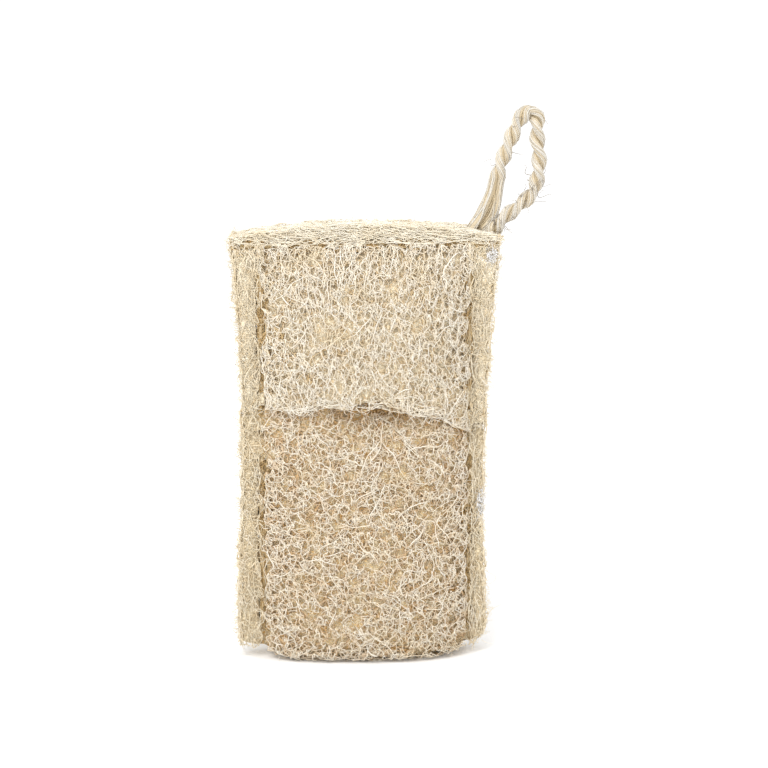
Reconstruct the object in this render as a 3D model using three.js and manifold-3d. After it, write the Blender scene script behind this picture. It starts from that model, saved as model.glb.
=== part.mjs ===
// A sewn loofah pouch for a bar of soap, standing on its folded base.
// One loofah sheet is folded up from the base into a pocket. A shorter loofah flap hangs over the pocket's mouth.
// Thread closes both sides and the top, and a twisted rope loop is caught in the top right corner.
// Millimetres, +Z up, front towards -Y. The origin is on the ground under the middle of the pouch.
import * as THREE from "three";
import { mergeVertices } from "three/addons/utils/BufferGeometryUtils.js";
import Module from "manifold-3d";

const wasm = await Module();
wasm.setup();

// Outline of the pouch
const HEIGHT = 146.5;
const CORNER_DROP = 3.8; // how far the top corners sit below the middle of the top edge
const TOP_WIDTH = 89;
const WAIST_WIDTH = 80;
const BASE_WIDTH = 83.5;
const WAIST_Z = 72;
const BASE_CORNER_RISE = 5; // how far the base corners lift off the ground
const BASE_FLAT_HALF = 20.75; // half the width of the flat that the pouch stands on
const BASE_FLAT_DEPTH = 8.5; // half the depth of that flat
const BASE_CORNER_ROUNDING = 2.5;

// Seams, as distances from the middle of the pouch and from the ground
const SIDE_SEAM_X = 34.5;
const TOP_SEAM_Z = 140.5;
const SEAM_HALF = 3.6; // half the thickness where the stitches pull the layers together
const HEM_HALF = 5.2; // half the thickness of the raw edge outside the stitches
const HEM_SPREAD = 2.6; // distance from a seam at which the hem is at its full thickness

// Depth of the pouch in front of and behind its middle plane
const FRONT_DEPTH = 15;
const BACK_DEPTH = 13.5;
const CROWN_Z = 84; // above this height the pouch thins towards the top seam

// Loofah sheets
const SHEET = 7;
const SHEET_IN_HEM = 4;
const LONE_FLAP_EXTRA = 1; // the flap's hem is this much thicker above the pocket's mouth
const POCKET_LIP_SHEET = 4.2; // the pocket is pressed thinner under the flap
const FLAP_SHEET = 4.6;
const LAYER_GAP = 0.3;

// Pocket mouth and flap
const MOUTH_Z = 101; // top edge of the pocket's front, under the flap
const MOUTH_GAP = 5.6; // widest gap between the flap and the pocket
const LIP_Y = 5; // the pocket's front is pressed flat this far from the middle plane
const STEP_BELOW_FLAP = 1.5; // the pocket is still pressed in this far below the flap's edge
const MOUTH_DIP = 4; // and this much further in the middle, where the mouth opens
const MOUTH_HALF_WIDTH = 26;
const FLAP_EDGE_Z = 89; // lower edge of the flap in the middle
const FLAP_EDGE_LEFT_DROP = 3;
const FLAP_EDGE_RIGHT_DROP = 10;
const FLAP_LIFT = 1.6; // how far the flap's lower edge stands proud of the pouch

// Base fold
const FOLD_Z = 12; // height at which the sheet starts to turn under
const FOLD_SQUARENESS = 3.2;
const FOLD_FLATTENING = 1.04; // the rounded fold is pressed flat by this share of its height
const FOLD_LENGTH = 40;
const FLAT_LENGTH = 8; // the part of that length that lies flat on the ground

// Raised net on the loofah's skin: ridges round sunk cells
const CELL_HEIGHT = 4.5;
const BODY_COLUMNS = 30; // half cells between the side seams
const HEM_COLUMNS = 3; // half cells across each side hem
const TOP_HEM_ROWS = 2;
const CELL_DEPTH = 1.9;
const HEM_CELL_DEPTH = 0.7;
const FLAP_CELL_SHARE = 0.85; // the flap's net is this much shallower
const ZIGZAG = 0.2; // share of a cell's height that turns the brick bond into hexagons
const JITTER = 0.25; // share of a cell that a ridge corner may wander
const RAGGED = 0.6; // how far the cut edges wander
const RIDGE_WAVE = 0.3; // how far the ridges dip at most

// Thread
const THREAD = 0.8;
const THREAD_CLEARANCE = 0.3;
const STITCH_Y = SEAM_HALF + 0.2; // middle of the thread, half sunk in the groove
const SLOT_Y = 9; // the slot that a stitch lies in is open out to here
const SIDE_HOLES_Z = Array.from({ length: 14 }, (_, k) => 14 + 9 * k);
const TOP_HOLES_X = [-39, -30, -21, -12, -3, 6, 15, 24.5, 34.6, 40.3];

// Rope loop
const STRAND_RADIUS = 1.6;
const STRAND_OFFSET = 0.9; // from the rope's middle to each strand's middle
const ROPE_SIDES = 12;
const ROPE_STEPS = 84;
const LAY_LENGTH = 14; // one full turn of the strands
const ROPE_BED_RADIUS = 3;
const ROPE_BED_SIDES = 8;
const ROPE_BED_SHARE = 0.13; // share of the rope's length that each bed covers
const ROPE_BED_REACH = 0.6; // how far a bed runs past the rope's end
const ROPE_ROUTE = [
  [33.6, 0.2, 134],
  [34.9, 0.2, 140],
  [37.7, 0.6, 144.5],
  [40.6, 0.9, 149],
  [42.6, 0.9, 154.5],
  [43.9, 0.8, 161],
  [45.9, 0.6, 168.2],
  [49.6, 0.3, 177.3],
  [51.4, 0.1, 181],
  [54.1, -0.2, 183.7],
  [56.7, -0.5, 180.9],
  [56.7, -0.9, 176],
  [57.4, -1.2, 169.5],
  [57.2, -1.5, 162.8],
  [55.4, -1.7, 156.8],
  [50.5, -1.7, 152],
  [45.8, -1.4, 148],
  [43, -0.9, 144.6],
  [40.4, -0.2, 140],
  [39.1, -0.2, 134],
];

const LOOFAH = new THREE.Color(0.78, 0.7, 0.55);
const SISAL = new THREE.Color(0.84, 0.77, 0.62);
const COTTON = new THREE.Color(0.9, 0.87, 0.8);

const smooth = (t) => THREE.MathUtils.smoothstep(t, 0, 1);
const clamp01 = (t) => THREE.MathUtils.clamp(t, 0, 1);

// Repeatable random number between -1 and 1 for a grid corner.
function wander(i, j, salt) {
  const n = Math.sin(i * 127.1 + j * 311.7 + salt * 74.7) * 43758.5453;
  return 2 * (n - Math.floor(n)) - 1;
}

function halfWidth(z) {
  const end = z > WAIST_Z ? TOP_WIDTH : BASE_WIDTH;
  const reach = z > WAIST_Z ? (z - WAIST_Z) / (HEIGHT - WAIST_Z) : (WAIST_Z - z) / WAIST_Z;
  const rounding = BASE_CORNER_ROUNDING * Math.max(0, 1 - z / FOLD_Z) ** 2;
  return (WAIST_WIDTH + (end - WAIST_WIDTH) * reach ** 2) / 2 - rounding;
}

const topZ = (x) => HEIGHT - CORNER_DROP * (x / (TOP_WIDTH / 2)) ** 2;

function baseZ(x) {
  const past = Math.max(0, Math.abs(x) - BASE_FLAT_HALF) / (BASE_WIDTH / 2 - BASE_FLAT_HALF);
  return BASE_CORNER_RISE * past ** 1.2;
}

function flapEdgeZ(x) {
  const share = clamp01(Math.abs(x) / SIDE_SEAM_X);
  const drop = x < 0 ? FLAP_EDGE_LEFT_DROP * share : FLAP_EDGE_RIGHT_DROP * share ** 1.5;
  return FLAP_EDGE_Z - drop + 0.8 * Math.sin(x * 0.35);
}

// 0 on the side seams and 1 in the middle of the pouch.
function acrossShare(x) {
  const share = Math.abs(x) / SIDE_SEAM_X;
  return share < 1 ? (1 - share ** 3.2) ** 0.72 : 0;
}

// 0 at the top seam and 1 below the crown.
function upShare(z) {
  const share = (z - CROWN_Z) / (TOP_SEAM_Z - CROWN_Z);
  return share < 1 ? (1 - Math.max(0, share) ** 2.8) ** 0.7 : 0;
}

// Half thickness at a seam or in the hem outside it. Every seam's groove runs on to the edge of the pouch.
function hemHalf(x, z) {
  const aside = Math.abs(x) - SIDE_SEAM_X;
  const above = z - TOP_SEAM_Z;
  const inBody = aside <= 0 && above <= 0;
  const outside = inBody ? 0 : Math.min(Math.abs(aside), Math.abs(above));
  return SEAM_HALF + (HEM_HALF - SEAM_HALF) * smooth(outside / HEM_SPREAD);
}

// Distance of the pouch's outer skin from its middle plane.
function envelope(x, z, depth) {
  const swell = 1 + 0.05 * Math.sin(z / 17) + 0.03 * Math.sin(x / 9 + z / 23);
  return hemHalf(x, z) + (depth * swell - SEAM_HALF) * acrossShare(x) * upShare(z);
}

const backOuter = (x, z) => envelope(x, z, BACK_DEPTH);
const backInner = (x, z) => Math.max(backOuter(x, z) - SHEET, LAYER_GAP / 2);

function flapOuter(x, z) {
  const nearEdge = 1 - clamp01((z - flapEdgeZ(x)) / 20);
  return envelope(x, z, FRONT_DEPTH) + FLAP_LIFT * nearEdge * acrossShare(x);
}

// Thickness of the flap: half of the front layers in the hem, and its own sheet in the body.
function flapThickness(x, z) {
  const share = Math.sqrt(acrossShare(x) * upShare(z));
  const inHem = hemHalf(x, z) * 0.46;
  return inHem + (FLAP_SHEET - inHem) * share;
}

// 0 at both ends of the mouth and 1 in its middle.
const mouthShare = (x) => clamp01(1 - ((x - 1) / MOUTH_HALF_WIDTH) ** 2);

function mouthGap(x) {
  const easing = 0.9 * acrossShare(x);
  return LAYER_GAP + easing + (MOUTH_GAP - LAYER_GAP - easing) * mouthShare(x) ** 0.8;
}

// 1 where the flap covers the pocket, falling to 0 over that distance below the flap's edge.
function pressing(x, z, blend) {
  const start = flapEdgeZ(x) - STEP_BELOW_FLAP - MOUTH_DIP * mouthShare(x);
  return smooth(1 - (start - z) / blend);
}

// Outer skin of the pocket's front: the pouch's own skin, pressed in where the flap covers it.
function pocketOuter(x, z) {
  const behindFlap = flapOuter(x, z) - flapThickness(x, z) - mouthGap(x);
  const lip = Math.min(behindFlap, LIP_Y);
  const pressed = pressing(x, z, 4 + 9 * acrossShare(x));
  return THREE.MathUtils.lerp(envelope(x, z, FRONT_DEPTH), lip, pressed);
}

function pocketInner(x, z) {
  const sheet = THREE.MathUtils.lerp(SHEET, POCKET_LIP_SHEET, pressing(x, z, 12));
  return Math.max(pocketOuter(x, z) - sheet, LAYER_GAP / 2);
}

// Inner skin of the flap: clear of the pocket below the mouth, against the back sheet above it.
function flapInner(x, z) {
  const hem = 1 - Math.sqrt(acrossShare(x) * upShare(z));
  const free = Math.max(flapOuter(x, z) - flapThickness(x, z), LAYER_GAP / 2);
  const closed = Math.max(flapOuter(x, z) - FLAP_SHEET - LONE_FLAP_EXTRA * hem, LAYER_GAP / 2);
  return THREE.MathUtils.lerp(free, closed, smooth((z - MOUTH_Z - 3) / 4));
}

// Column i of the sheet's grid, from the left edge through the two seams to the right edge.
const COLUMNS = BODY_COLUMNS + 2 * HEM_COLUMNS;

function columnX(i, z) {
  const c = i - COLUMNS / 2;
  const body = BODY_COLUMNS / 2;
  if (Math.abs(c) <= body) return (c / body) * SIDE_SEAM_X;
  const share = (Math.abs(c) - body) / HEM_COLUMNS;
  return Math.sign(c) * (SIDE_SEAM_X + share * (halfWidth(z) - SIDE_SEAM_X));
}

const isSeamColumn = (i) => i === HEM_COLUMNS || i === COLUMNS - HEM_COLUMNS;

// Distances along the folded sheet, from the pocket's lip down the front, round the base and up the back.
const FLAP_EDGE_S = MOUTH_Z - FLAP_EDGE_Z + STEP_BELOW_FLAP;
const FOLD_START = MOUTH_Z - FOLD_Z;
const FOLD_END = FOLD_START + FOLD_LENGTH;
const FOLD_MIDDLE = (FOLD_START + FOLD_END) / 2;
const SEAM_S = FOLD_END + TOP_SEAM_Z - FOLD_Z;
const SHEET_END = SEAM_S + HEIGHT - TOP_SEAM_Z;

// Height on the pocket's front. One row of the grid follows the flap's edge.
function frontZ(i, s) {
  const edge = flapEdgeZ(columnX(i, FLAP_EDGE_Z)) - STEP_BELOW_FLAP;
  if (s <= FLAP_EDGE_S) return THREE.MathUtils.lerp(MOUTH_Z, edge, s / FLAP_EDGE_S);
  return THREE.MathUtils.lerp(edge, FOLD_Z, (s - FLAP_EDGE_S) / (FOLD_START - FLAP_EDGE_S));
}

// A point of the folded sheet. skin holds the depths of its front and back, the height of its base and the
// half depth of the flat that it stands on.
function sheetPoint(i, s, skin) {
  if (s <= FOLD_START) {
    const z = frontZ(i, s);
    const x = columnX(i, z);
    return new THREE.Vector3(x, -skin.front(x, z), z);
  }
  if (s < FOLD_END) {
    const angle = (Math.PI * (s - FOLD_START)) / FOLD_LENGTH;
    const x = columnX(i, FOLD_Z);
    const side = Math.cos(angle) > 0 ? -skin.front(x, FOLD_Z) : skin.back(x, FOLD_Z);
    const round = side * Math.abs(Math.cos(angle)) ** (2 / FOLD_SQUARENESS);
    const fromMiddle = (2 * (s - FOLD_MIDDLE)) / FLAT_LENGTH;
    const standing = Math.abs(fromMiddle) <= 1 && Math.abs(x) < BASE_FLAT_HALF;
    const y = standing ? fromMiddle * skin.footing : round;
    const floor = skin.floor(x);
    const fall = (FOLD_Z - floor) * FOLD_FLATTENING * Math.sin(angle) ** (2 / FOLD_SQUARENESS);
    const z = Math.max(floor, FOLD_Z - fall);
    return new THREE.Vector3(columnX(i, z), y, z);
  }
  if (s <= SEAM_S) {
    const z = FOLD_Z + s - FOLD_END;
    const x = columnX(i, z);
    return new THREE.Vector3(x, skin.back(x, z), z);
  }
  return hemPoint(i, (s - SEAM_S) / (SHEET_END - SEAM_S), skin.back);
}

// A point of the top hem, at that share of the way from the seam to the raw edge.
function hemPoint(i, share, depth) {
  const x = columnX(i, TOP_SEAM_Z + share * (HEIGHT - TOP_SEAM_Z));
  const z = THREE.MathUtils.lerp(TOP_SEAM_Z, topZ(x), share);
  return new THREE.Vector3(x, depth(x, z), z);
}

const FLAP_SEAM_S = TOP_SEAM_Z - FLAP_EDGE_Z;
const FLAP_END = FLAP_SEAM_S + HEIGHT - TOP_SEAM_Z;

// A point of the flap at distance s above its free edge.
function flapPoint(i, s, depth) {
  const frontDepth = (x, z) => -depth(x, z);
  if (s > FLAP_SEAM_S) return hemPoint(i, (s - FLAP_SEAM_S) / (FLAP_END - FLAP_SEAM_S), frontDepth);
  const edge = flapEdgeZ(columnX(i, FLAP_EDGE_Z));
  const z = THREE.MathUtils.lerp(edge, TOP_SEAM_Z, s / FLAP_SEAM_S);
  const x = columnX(i, z);
  return new THREE.Vector3(x, frontDepth(x, z), z);
}

// Stations at an even spacing of about one cell from one distance to another.
function stations(from, to, step = CELL_HEIGHT) {
  const count = Math.max(1, Math.round((to - from) / step));
  return Array.from({ length: count + 1 }, (_, k) => from + ((to - from) * k) / count);
}

const towards = (p, target, distance) =>
  p.clone().add(target.clone().sub(p).setLength(distance));

// Collects points and faces, and closes them into a solid.
class Mesher {
  constructor() {
    this.points = [];
    this.faces = [];
  }

  point(p) {
    this.points.push(p);
    return this.points.length - 1;
  }

  // Fills a polygon, fanned round a middle point sunk by depth towards the inner skin where there is a depth.
  cell(corners, depth, innerPoint) {
    if (depth === 0) {
      for (let k = 1; k < corners.length - 1; k++)
        this.faces.push([corners[0], corners[k], corners[k + 1]]);
      return;
    }
    const middle = new THREE.Vector3();
    corners.forEach((a) => middle.addScaledVector(this.points[a], 1 / corners.length));
    const centre = this.point(towards(middle, innerPoint, depth));
    corners.forEach((a, k) => this.faces.push([a, corners[(k + 1) % corners.length], centre]));
  }

  // Joins two runs of points that start and end side by side, always by the shorter diagonal.
  zip(run, other) {
    const gap = (p, q) => this.points[p].distanceTo(this.points[q]);
    let a = 0;
    let b = 0;
    while (a < run.length - 1 || b < other.length - 1) {
      const otherDone = b === other.length - 1;
      const runShorter = !otherDone && a < run.length - 1
        && gap(run[a + 1], other[b]) <= gap(run[a], other[b + 1]);
      if (otherDone || runShorter) {
        this.faces.push([run[a + 1], run[a], other[b]]);
        a += 1;
      } else {
        this.faces.push([other[b], other[b + 1], run[a]]);
        b += 1;
      }
    }
  }

  geometry() {
    const g = new THREE.BufferGeometry().setFromPoints(this.points);
    g.setIndex(this.faces.flat());
    return g;
  }
}

// The four sides of a grid of point numbers, in order round it.
function sidesOf(grid) {
  const last = grid.length - 1;
  const columns = grid[0].length - 1;
  return [
    grid[0],
    grid.map((row) => row[columns]),
    [...grid[last]].reverse(),
    grid.map((row) => row[0]).reverse(),
  ];
}

// A loofah sheet: a net of ridges and sunk cells outside, a plain skin inside, and the cut edge between them.
// heldRows keep their place, and a cell depth of 0 keeps that part of the net flat.
function loofahSheet({ rows, heldRows, outer, inner, innerRows, cellDepth, salt }) {
  const mesher = new Mesher();
  const lastRow = rows.length - 1;
  const grid = rows.map((s, j) =>
    Array.from({ length: COLUMNS + 1 }, (_, i) => {
      const edgeColumn = i === 0 || i === COLUMNS;
      const edgeRow = j === 0 || j === lastRow;
      const calm = cellDepth(i, s) === 0;
      const heldS = edgeRow || calm || heldRows.includes(s);
      const heldI = heldS || edgeColumn || isSeamColumn(i);
      const step = (rows[Math.min(lastRow, j + 1)] - rows[Math.max(0, j - 1)]) / 2;
      const zigzag = (i + j) % 2 === 0 ? ZIGZAG : -ZIGZAG;
      const shiftS = heldS ? 0 : step * (zigzag + JITTER * wander(i, j, salt));
      const shiftI = heldI ? 0 : JITTER * wander(i, j, salt + 1);
      const p = outer(i + shiftI, s + shiftS);
      if (edgeColumn && !edgeRow) p.x += RAGGED * wander(i, j, salt + 2);
      if (edgeRow && !edgeColumn) p.z += RAGGED * wander(i, j, salt + 3);
      if (heldI || cellDepth(i, s) < CELL_DEPTH / 2) return mesher.point(p);
      const wave = (RIDGE_WAVE * (1 + wander(i, j, salt + 4))) / 2;
      return mesher.point(towards(p, inner(i, s), wave));
    }),
  );
  for (let j = 0; j < lastRow; j++) {
    const middleS = (rows[j] + rows[j + 1]) / 2;
    const bounds = new Set([0, HEM_COLUMNS, COLUMNS - HEM_COLUMNS, COLUMNS]);
    for (let i = j % 2; i < COLUMNS; i += 2) bounds.add(i);
    const edges = [...bounds].sort((a, b) => a - b);
    for (let k = 0; k < edges.length - 1; k++) {
      const low = grid[j].slice(edges[k], edges[k + 1] + 1);
      const high = grid[j + 1].slice(edges[k], edges[k + 1] + 1).reverse();
      const middleI = (edges[k] + edges[k + 1]) / 2;
      mesher.cell([...low, ...high], cellDepth(middleI, middleS), inner(middleI, middleS));
    }
  }
  const innerGrid = innerRows.map((s) => INNER_COLUMNS.map((i) => mesher.point(inner(i, s))));
  for (let j = 0; j < innerRows.length - 1; j++)
    for (let k = 0; k < INNER_COLUMNS.length - 1; k++) {
      const [a, b] = [innerGrid[j][k], innerGrid[j][k + 1]];
      const [d, c] = [innerGrid[j + 1][k], innerGrid[j + 1][k + 1]];
      mesher.faces.push([a, c, b], [a, d, c]);
    }
  const outerSides = sidesOf(grid);
  sidesOf(innerGrid).forEach((side, k) => mesher.zip(outerSides[k], side));
  return toSolid(mesher.geometry());
}

// A closed geometry as a solid, whichever way its faces turn.
function toSolid(geometry) {
  const bare = geometry.clone();
  bare.deleteAttribute("normal");
  bare.deleteAttribute("uv");
  const merged = mergeVertices(bare, 1e-4);
  const build = (triVerts) =>
    new wasm.Manifold(
      new wasm.Mesh({ numProp: 3, vertProperties: merged.attributes.position.array, triVerts }),
    );
  const faces = new Uint32Array(merged.index.array);
  const solid = build(faces);
  return solid.volume() > 0 ? solid : build(faces.reverse());
}

function toMesh(name, solid, color, roughness) {
  const m = solid.getMesh();
  const positions = new Float32Array(m.numVert * 3);
  for (let v = 0; v < m.numVert; v++)
    positions.set(m.vertProperties.subarray(v * m.numProp, v * m.numProp + 3), v * 3);
  const geometry = new THREE.BufferGeometry()
    .setAttribute("position", new THREE.BufferAttribute(positions, 3))
    .setIndex(new THREE.BufferAttribute(new Uint32Array(m.triVerts), 1));
  geometry.computeVertexNormals();
  const mesh = new THREE.Mesh(
    geometry,
    new THREE.MeshStandardMaterial({ color, roughness, metalness: 0, flatShading: true }),
  );
  mesh.name = name;
  return mesh;
}

// Columns for an inner skin: on the net's own columns at the seams, wider apart in the middle.
const INNER_COLUMNS = [0, 1.5, 3, 4, 5, 6.5, 8.5, 11, 14, 18, 22, 25, 27.5, 29.5, 31, 32, 33, 34.5, 36];

function foldedSheet() {
  const hemRows = stations(SEAM_S, SHEET_END, (SHEET_END - SEAM_S) / TOP_HEM_ROWS);
  const calm = (s) => s <= FLAP_EDGE_S || Math.abs(s - FOLD_MIDDLE) <= FLAT_LENGTH / 2;
  const outerSkin = { front: pocketOuter, back: backOuter, floor: baseZ, footing: BASE_FLAT_DEPTH };
  const innerSkin = {
    front: pocketInner,
    back: backInner,
    footing: 0,
    floor: (x) => baseZ(x) + THREE.MathUtils.lerp(SHEET_IN_HEM, SHEET, acrossShare(x)),
  };
  return loofahSheet({
    rows: [
      ...stations(0, FLAP_EDGE_S),
      ...stations(FLAP_EDGE_S, FOLD_START).slice(1),
      ...stations(FOLD_START, FOLD_END, FOLD_LENGTH / 10).slice(1),
      ...stations(FOLD_END, SEAM_S).slice(1),
      ...hemRows.slice(1),
    ],
    heldRows: [FLAP_EDGE_S, SEAM_S],
    outer: (i, s) => sheetPoint(i, s, outerSkin),
    inner: (i, s) => sheetPoint(i, s, innerSkin),
    innerRows: [
      ...stations(0, FLAP_EDGE_S, 7),
      ...stations(FLAP_EDGE_S, FOLD_START, 7.7).slice(1),
      ...stations(FOLD_START, FOLD_END, FOLD_LENGTH / 8).slice(1),
      ...stations(FOLD_END, SEAM_S, 9).slice(1),
      SHEET_END,
    ],
    cellDepth: (i, s) => (calm(s) ? 0 : netDepth(i, s > SEAM_S)),
    salt: 3,
  });
}

function netDepth(i, inTopHem) {
  const inSideHem = i < HEM_COLUMNS || i > COLUMNS - HEM_COLUMNS;
  return inSideHem || inTopHem ? HEM_CELL_DEPTH : CELL_DEPTH;
}

function flapSheet() {
  const hemRows = stations(FLAP_SEAM_S, FLAP_END, (FLAP_END - FLAP_SEAM_S) / TOP_HEM_ROWS);
  return loofahSheet({
    rows: [...stations(0, FLAP_SEAM_S), ...hemRows.slice(1)],
    heldRows: [FLAP_SEAM_S],
    outer: (i, s) => flapPoint(i, s, flapOuter),
    inner: (i, s) => flapPoint(i, s, flapInner),
    innerRows: [...stations(0, FLAP_SEAM_S, 3.7), FLAP_END],
    cellDepth: (i, s) => netDepth(i, s > FLAP_SEAM_S) * FLAP_CELL_SHARE,
    salt: 11,
  });
}

// Running stitch as a square wave between the front and back of the pouch, through holes along the seam.
// The path's x runs along the seam, and its y from the front to the back.
function runningStitch(holes) {
  const path = [];
  holes.forEach((hole, k) => {
    const y = k % 2 === 0 ? STITCH_Y : -STITCH_Y;
    path.push(new THREE.Vector2(hole, y), new THREE.Vector2(hole, -y));
  });
  return path;
}

// Both sides of a band of that width along a path of right-angled turns.
function bandOutline(path, width) {
  const side = (sign) =>
    path.map((p, k) => {
      const before = k > 0 ? p.clone().sub(path[k - 1]).normalize() : null;
      const after = k < path.length - 1 ? path[k + 1].clone().sub(p).normalize() : null;
      const [u, v] = [before ?? after, after ?? before];
      const halfWidth = (sign * width) / (before && after ? 2 : 4);
      return p.clone().add(new THREE.Vector2(-u.y - v.y, u.x + v.x).multiplyScalar(halfWidth));
    });
  return [...side(1), ...side(-1).reverse()];
}

const slab = (outline, thickness) =>
  new THREE.ExtrudeGeometry(new THREE.Shape(outline), { depth: thickness, bevelEnabled: false })
    .translate(0, 0, -thickness / 2);

// The thread of one seam, and the channel that it lies in, open to the outside along every stitch.
function seamThread(holes, place) {
  const path = runningStitch(holes);
  const channelWidth = THREAD + 2 * THREAD_CLEARANCE;
  const channel = bandOutline(path, channelWidth).map((p) =>
    Math.abs(p.y) < STITCH_Y ? p : new THREE.Vector2(p.x, Math.sign(p.y) * SLOT_Y),
  );
  return {
    thread: toSolid(place(slab(bandOutline(path, THREAD), THREAD))),
    channel: toSolid(place(slab(channel, channelWidth))),
  };
}

const upright = (x) => (g) => g.rotateY(-Math.PI / 2).translate(x, 0, 0);
const level = (z) => (g) => g.translate(0, 0, z);

// Outline of two round strands lying against each other.
function ropeSection() {
  return new THREE.Shape(
    Array.from({ length: ROPE_SIDES }, (_, k) => {
      const angle = (2 * Math.PI * k) / ROPE_SIDES;
      const across = STRAND_OFFSET * Math.sin(angle);
      const reach =
        STRAND_OFFSET * Math.abs(Math.cos(angle)) + Math.sqrt(STRAND_RADIUS ** 2 - across ** 2);
      return new THREE.Vector2(reach * Math.cos(angle), reach * Math.sin(angle));
    }),
  );
}

// A route whose section turns once every lay length. The strands slope like the middle of an S.
class TwistedRoute extends THREE.CatmullRomCurve3 {
  computeFrenetFrames(segments, closed) {
    const frames = super.computeFrenetFrames(segments, closed);
    const turns = -this.getLength() / LAY_LENGTH;
    frames.tangents.forEach((tangent, k) => {
      const angle = (2 * Math.PI * turns * k) / segments;
      frames.normals[k].applyAxisAngle(tangent, angle);
      frames.binormals[k].applyAxisAngle(tangent, angle);
    });
    return frames;
  }
}

const route = new TwistedRoute(
  ROPE_ROUTE.map((p) => new THREE.Vector3(...p)),
  false,
  "centripetal",
);

const ropeLoop = () =>
  toSolid(new THREE.ExtrudeGeometry(ropeSection(), { steps: ROPE_STEPS, extrudePath: route }));

// The round bed that one end of the rope lies in, from past the rope's end at share from of its length.
function ropeBed(from, to) {
  const points = Array.from({ length: 6 }, (_, k) =>
    route.getPointAt(THREE.MathUtils.lerp(from, to, k / 5)),
  );
  const pastEnd = towards(points[0], points[1], -ROPE_BED_REACH);
  const outline = Array.from({ length: ROPE_BED_SIDES }, (_, k) => {
    const angle = (2 * Math.PI * (k + 0.5)) / ROPE_BED_SIDES;
    return new THREE.Vector2(Math.cos(angle), Math.sin(angle)).multiplyScalar(ROPE_BED_RADIUS);
  });
  const bedRoute = new THREE.CatmullRomCurve3([pastEnd, ...points]);
  return toSolid(
    new THREE.ExtrudeGeometry(new THREE.Shape(outline), { steps: 8, extrudePath: bedRoute }),
  );
}

// Keeps the main piece of a solid and leaves out crumbs that a channel cut loose.
const mainPiece = (solid) => solid.decompose().sort((a, b) => b.volume() - a.volume())[0];

const beds = ropeBed(0, ROPE_BED_SHARE).add(ropeBed(1, 1 - ROPE_BED_SHARE));
const seams = {
  left: seamThread(SIDE_HOLES_Z, upright(-SIDE_SEAM_X)),
  right: seamThread(SIDE_HOLES_Z, upright(SIDE_SEAM_X)),
  top: seamThread(TOP_HOLES_X, level(TOP_SEAM_Z)),
};
const channels = seams.left.channel.add(seams.right.channel).add(seams.top.channel);
const cut = (solid) => mainPiece(solid.subtract(channels).subtract(beds));

const pouch = new THREE.Group();
pouch.add(
  toMesh("folded_sheet", cut(foldedSheet()), LOOFAH, 0.95),
  toMesh("flap", cut(flapSheet()), LOOFAH, 0.95),
  toMesh("hang_loop", mainPiece(ropeLoop().subtract(channels)), SISAL, 0.8),
  ...Object.entries(seams).map(([side, seam]) =>
    toMesh(`${side}_seam_thread`, seam.thread, COTTON, 0.7),
  ),
);

export default pouch;
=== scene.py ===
"""A sewn loofah soap pouch: nets of plant fibres on each sheet, raw hems, seams and a twisted rope loop."""

import logging
import math
from dataclasses import dataclass
from enum import Enum
from functools import cache

import bmesh
import bpy
import numpy as np
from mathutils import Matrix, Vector, noise
from mathutils.bvhtree import BVHTree
from mathutils.kdtree import KDTree


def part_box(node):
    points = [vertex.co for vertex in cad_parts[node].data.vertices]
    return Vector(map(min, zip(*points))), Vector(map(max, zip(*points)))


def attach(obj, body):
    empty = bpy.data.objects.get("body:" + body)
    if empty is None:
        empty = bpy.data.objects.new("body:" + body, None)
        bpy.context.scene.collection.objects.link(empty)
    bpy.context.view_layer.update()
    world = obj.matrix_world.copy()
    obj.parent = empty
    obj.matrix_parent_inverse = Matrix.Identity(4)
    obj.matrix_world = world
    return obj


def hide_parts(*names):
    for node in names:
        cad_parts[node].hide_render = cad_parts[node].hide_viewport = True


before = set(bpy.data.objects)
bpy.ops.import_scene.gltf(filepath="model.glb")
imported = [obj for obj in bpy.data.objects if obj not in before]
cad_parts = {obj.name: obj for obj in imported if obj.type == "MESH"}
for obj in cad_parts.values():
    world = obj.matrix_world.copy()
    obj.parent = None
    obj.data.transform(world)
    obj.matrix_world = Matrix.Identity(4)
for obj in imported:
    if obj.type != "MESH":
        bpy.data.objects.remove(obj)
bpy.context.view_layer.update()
log = logging.getLogger("loofah_pouch")

MM = 0.001
BODY = "root"
SHEET = ("folded_sheet",)
FLAP = ("flap",)
BOTH = SHEET + FLAP

# Seams, as in the solids, and the groove at each, which opens and closes along it
SIDE_SEAM_X = 34.5 * MM
SIDE_SEAM_LOW_Z = 9 * MM
TOP_SEAM_Z = 140.5 * MM
TOP_SEAM_LAP = 0.5 * MM
SEAM_REACH = 1.7 * MM
SEAM_GAP = 0.5 * MM
SEAM_GAP_MEAN = 0.25
SEAM_GAP_SWING = 1.1
SEAM_WAVE = 4.3 * MM
SEAM_RIPPLE = 1.9 * MM
SEAM_RIPPLE_SWING = 1.6
HEM_FROM = 1 * MM

# The flap's free lower edge
FLAP_EDGE_Z = 89 * MM
FLAP_EDGE_LEFT_DROP = 3 * MM
FLAP_EDGE_RIGHT_DROP = 10 * MM
FLAP_TUFT_DROP = 2.6 * MM
FLAP_TUFT_HALF_WIDTH = 2.6 * MM
FLAP_WAVE_HEIGHT = 0.8 * MM
FLAP_WAVE_TURN_PER_MM = 0.35
LAP_BELOW_EDGE = 0.8 * MM
LAP_UNDER_FLAP = 2 * MM
LIP_MIDDLE = 0.6 * MM
LIP_HALF_WIDTH = 1.6 * MM

# Two wisps of white sewing cotton in the right hem: middle across and up, half width and half height
COTTON_SPOTS = (
    (41.9 * MM, 136.3 * MM, 2.1 * MM, 2.7 * MM),
    (39.6 * MM, 53 * MM, 1.9 * MM, 4.6 * MM),
)

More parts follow.
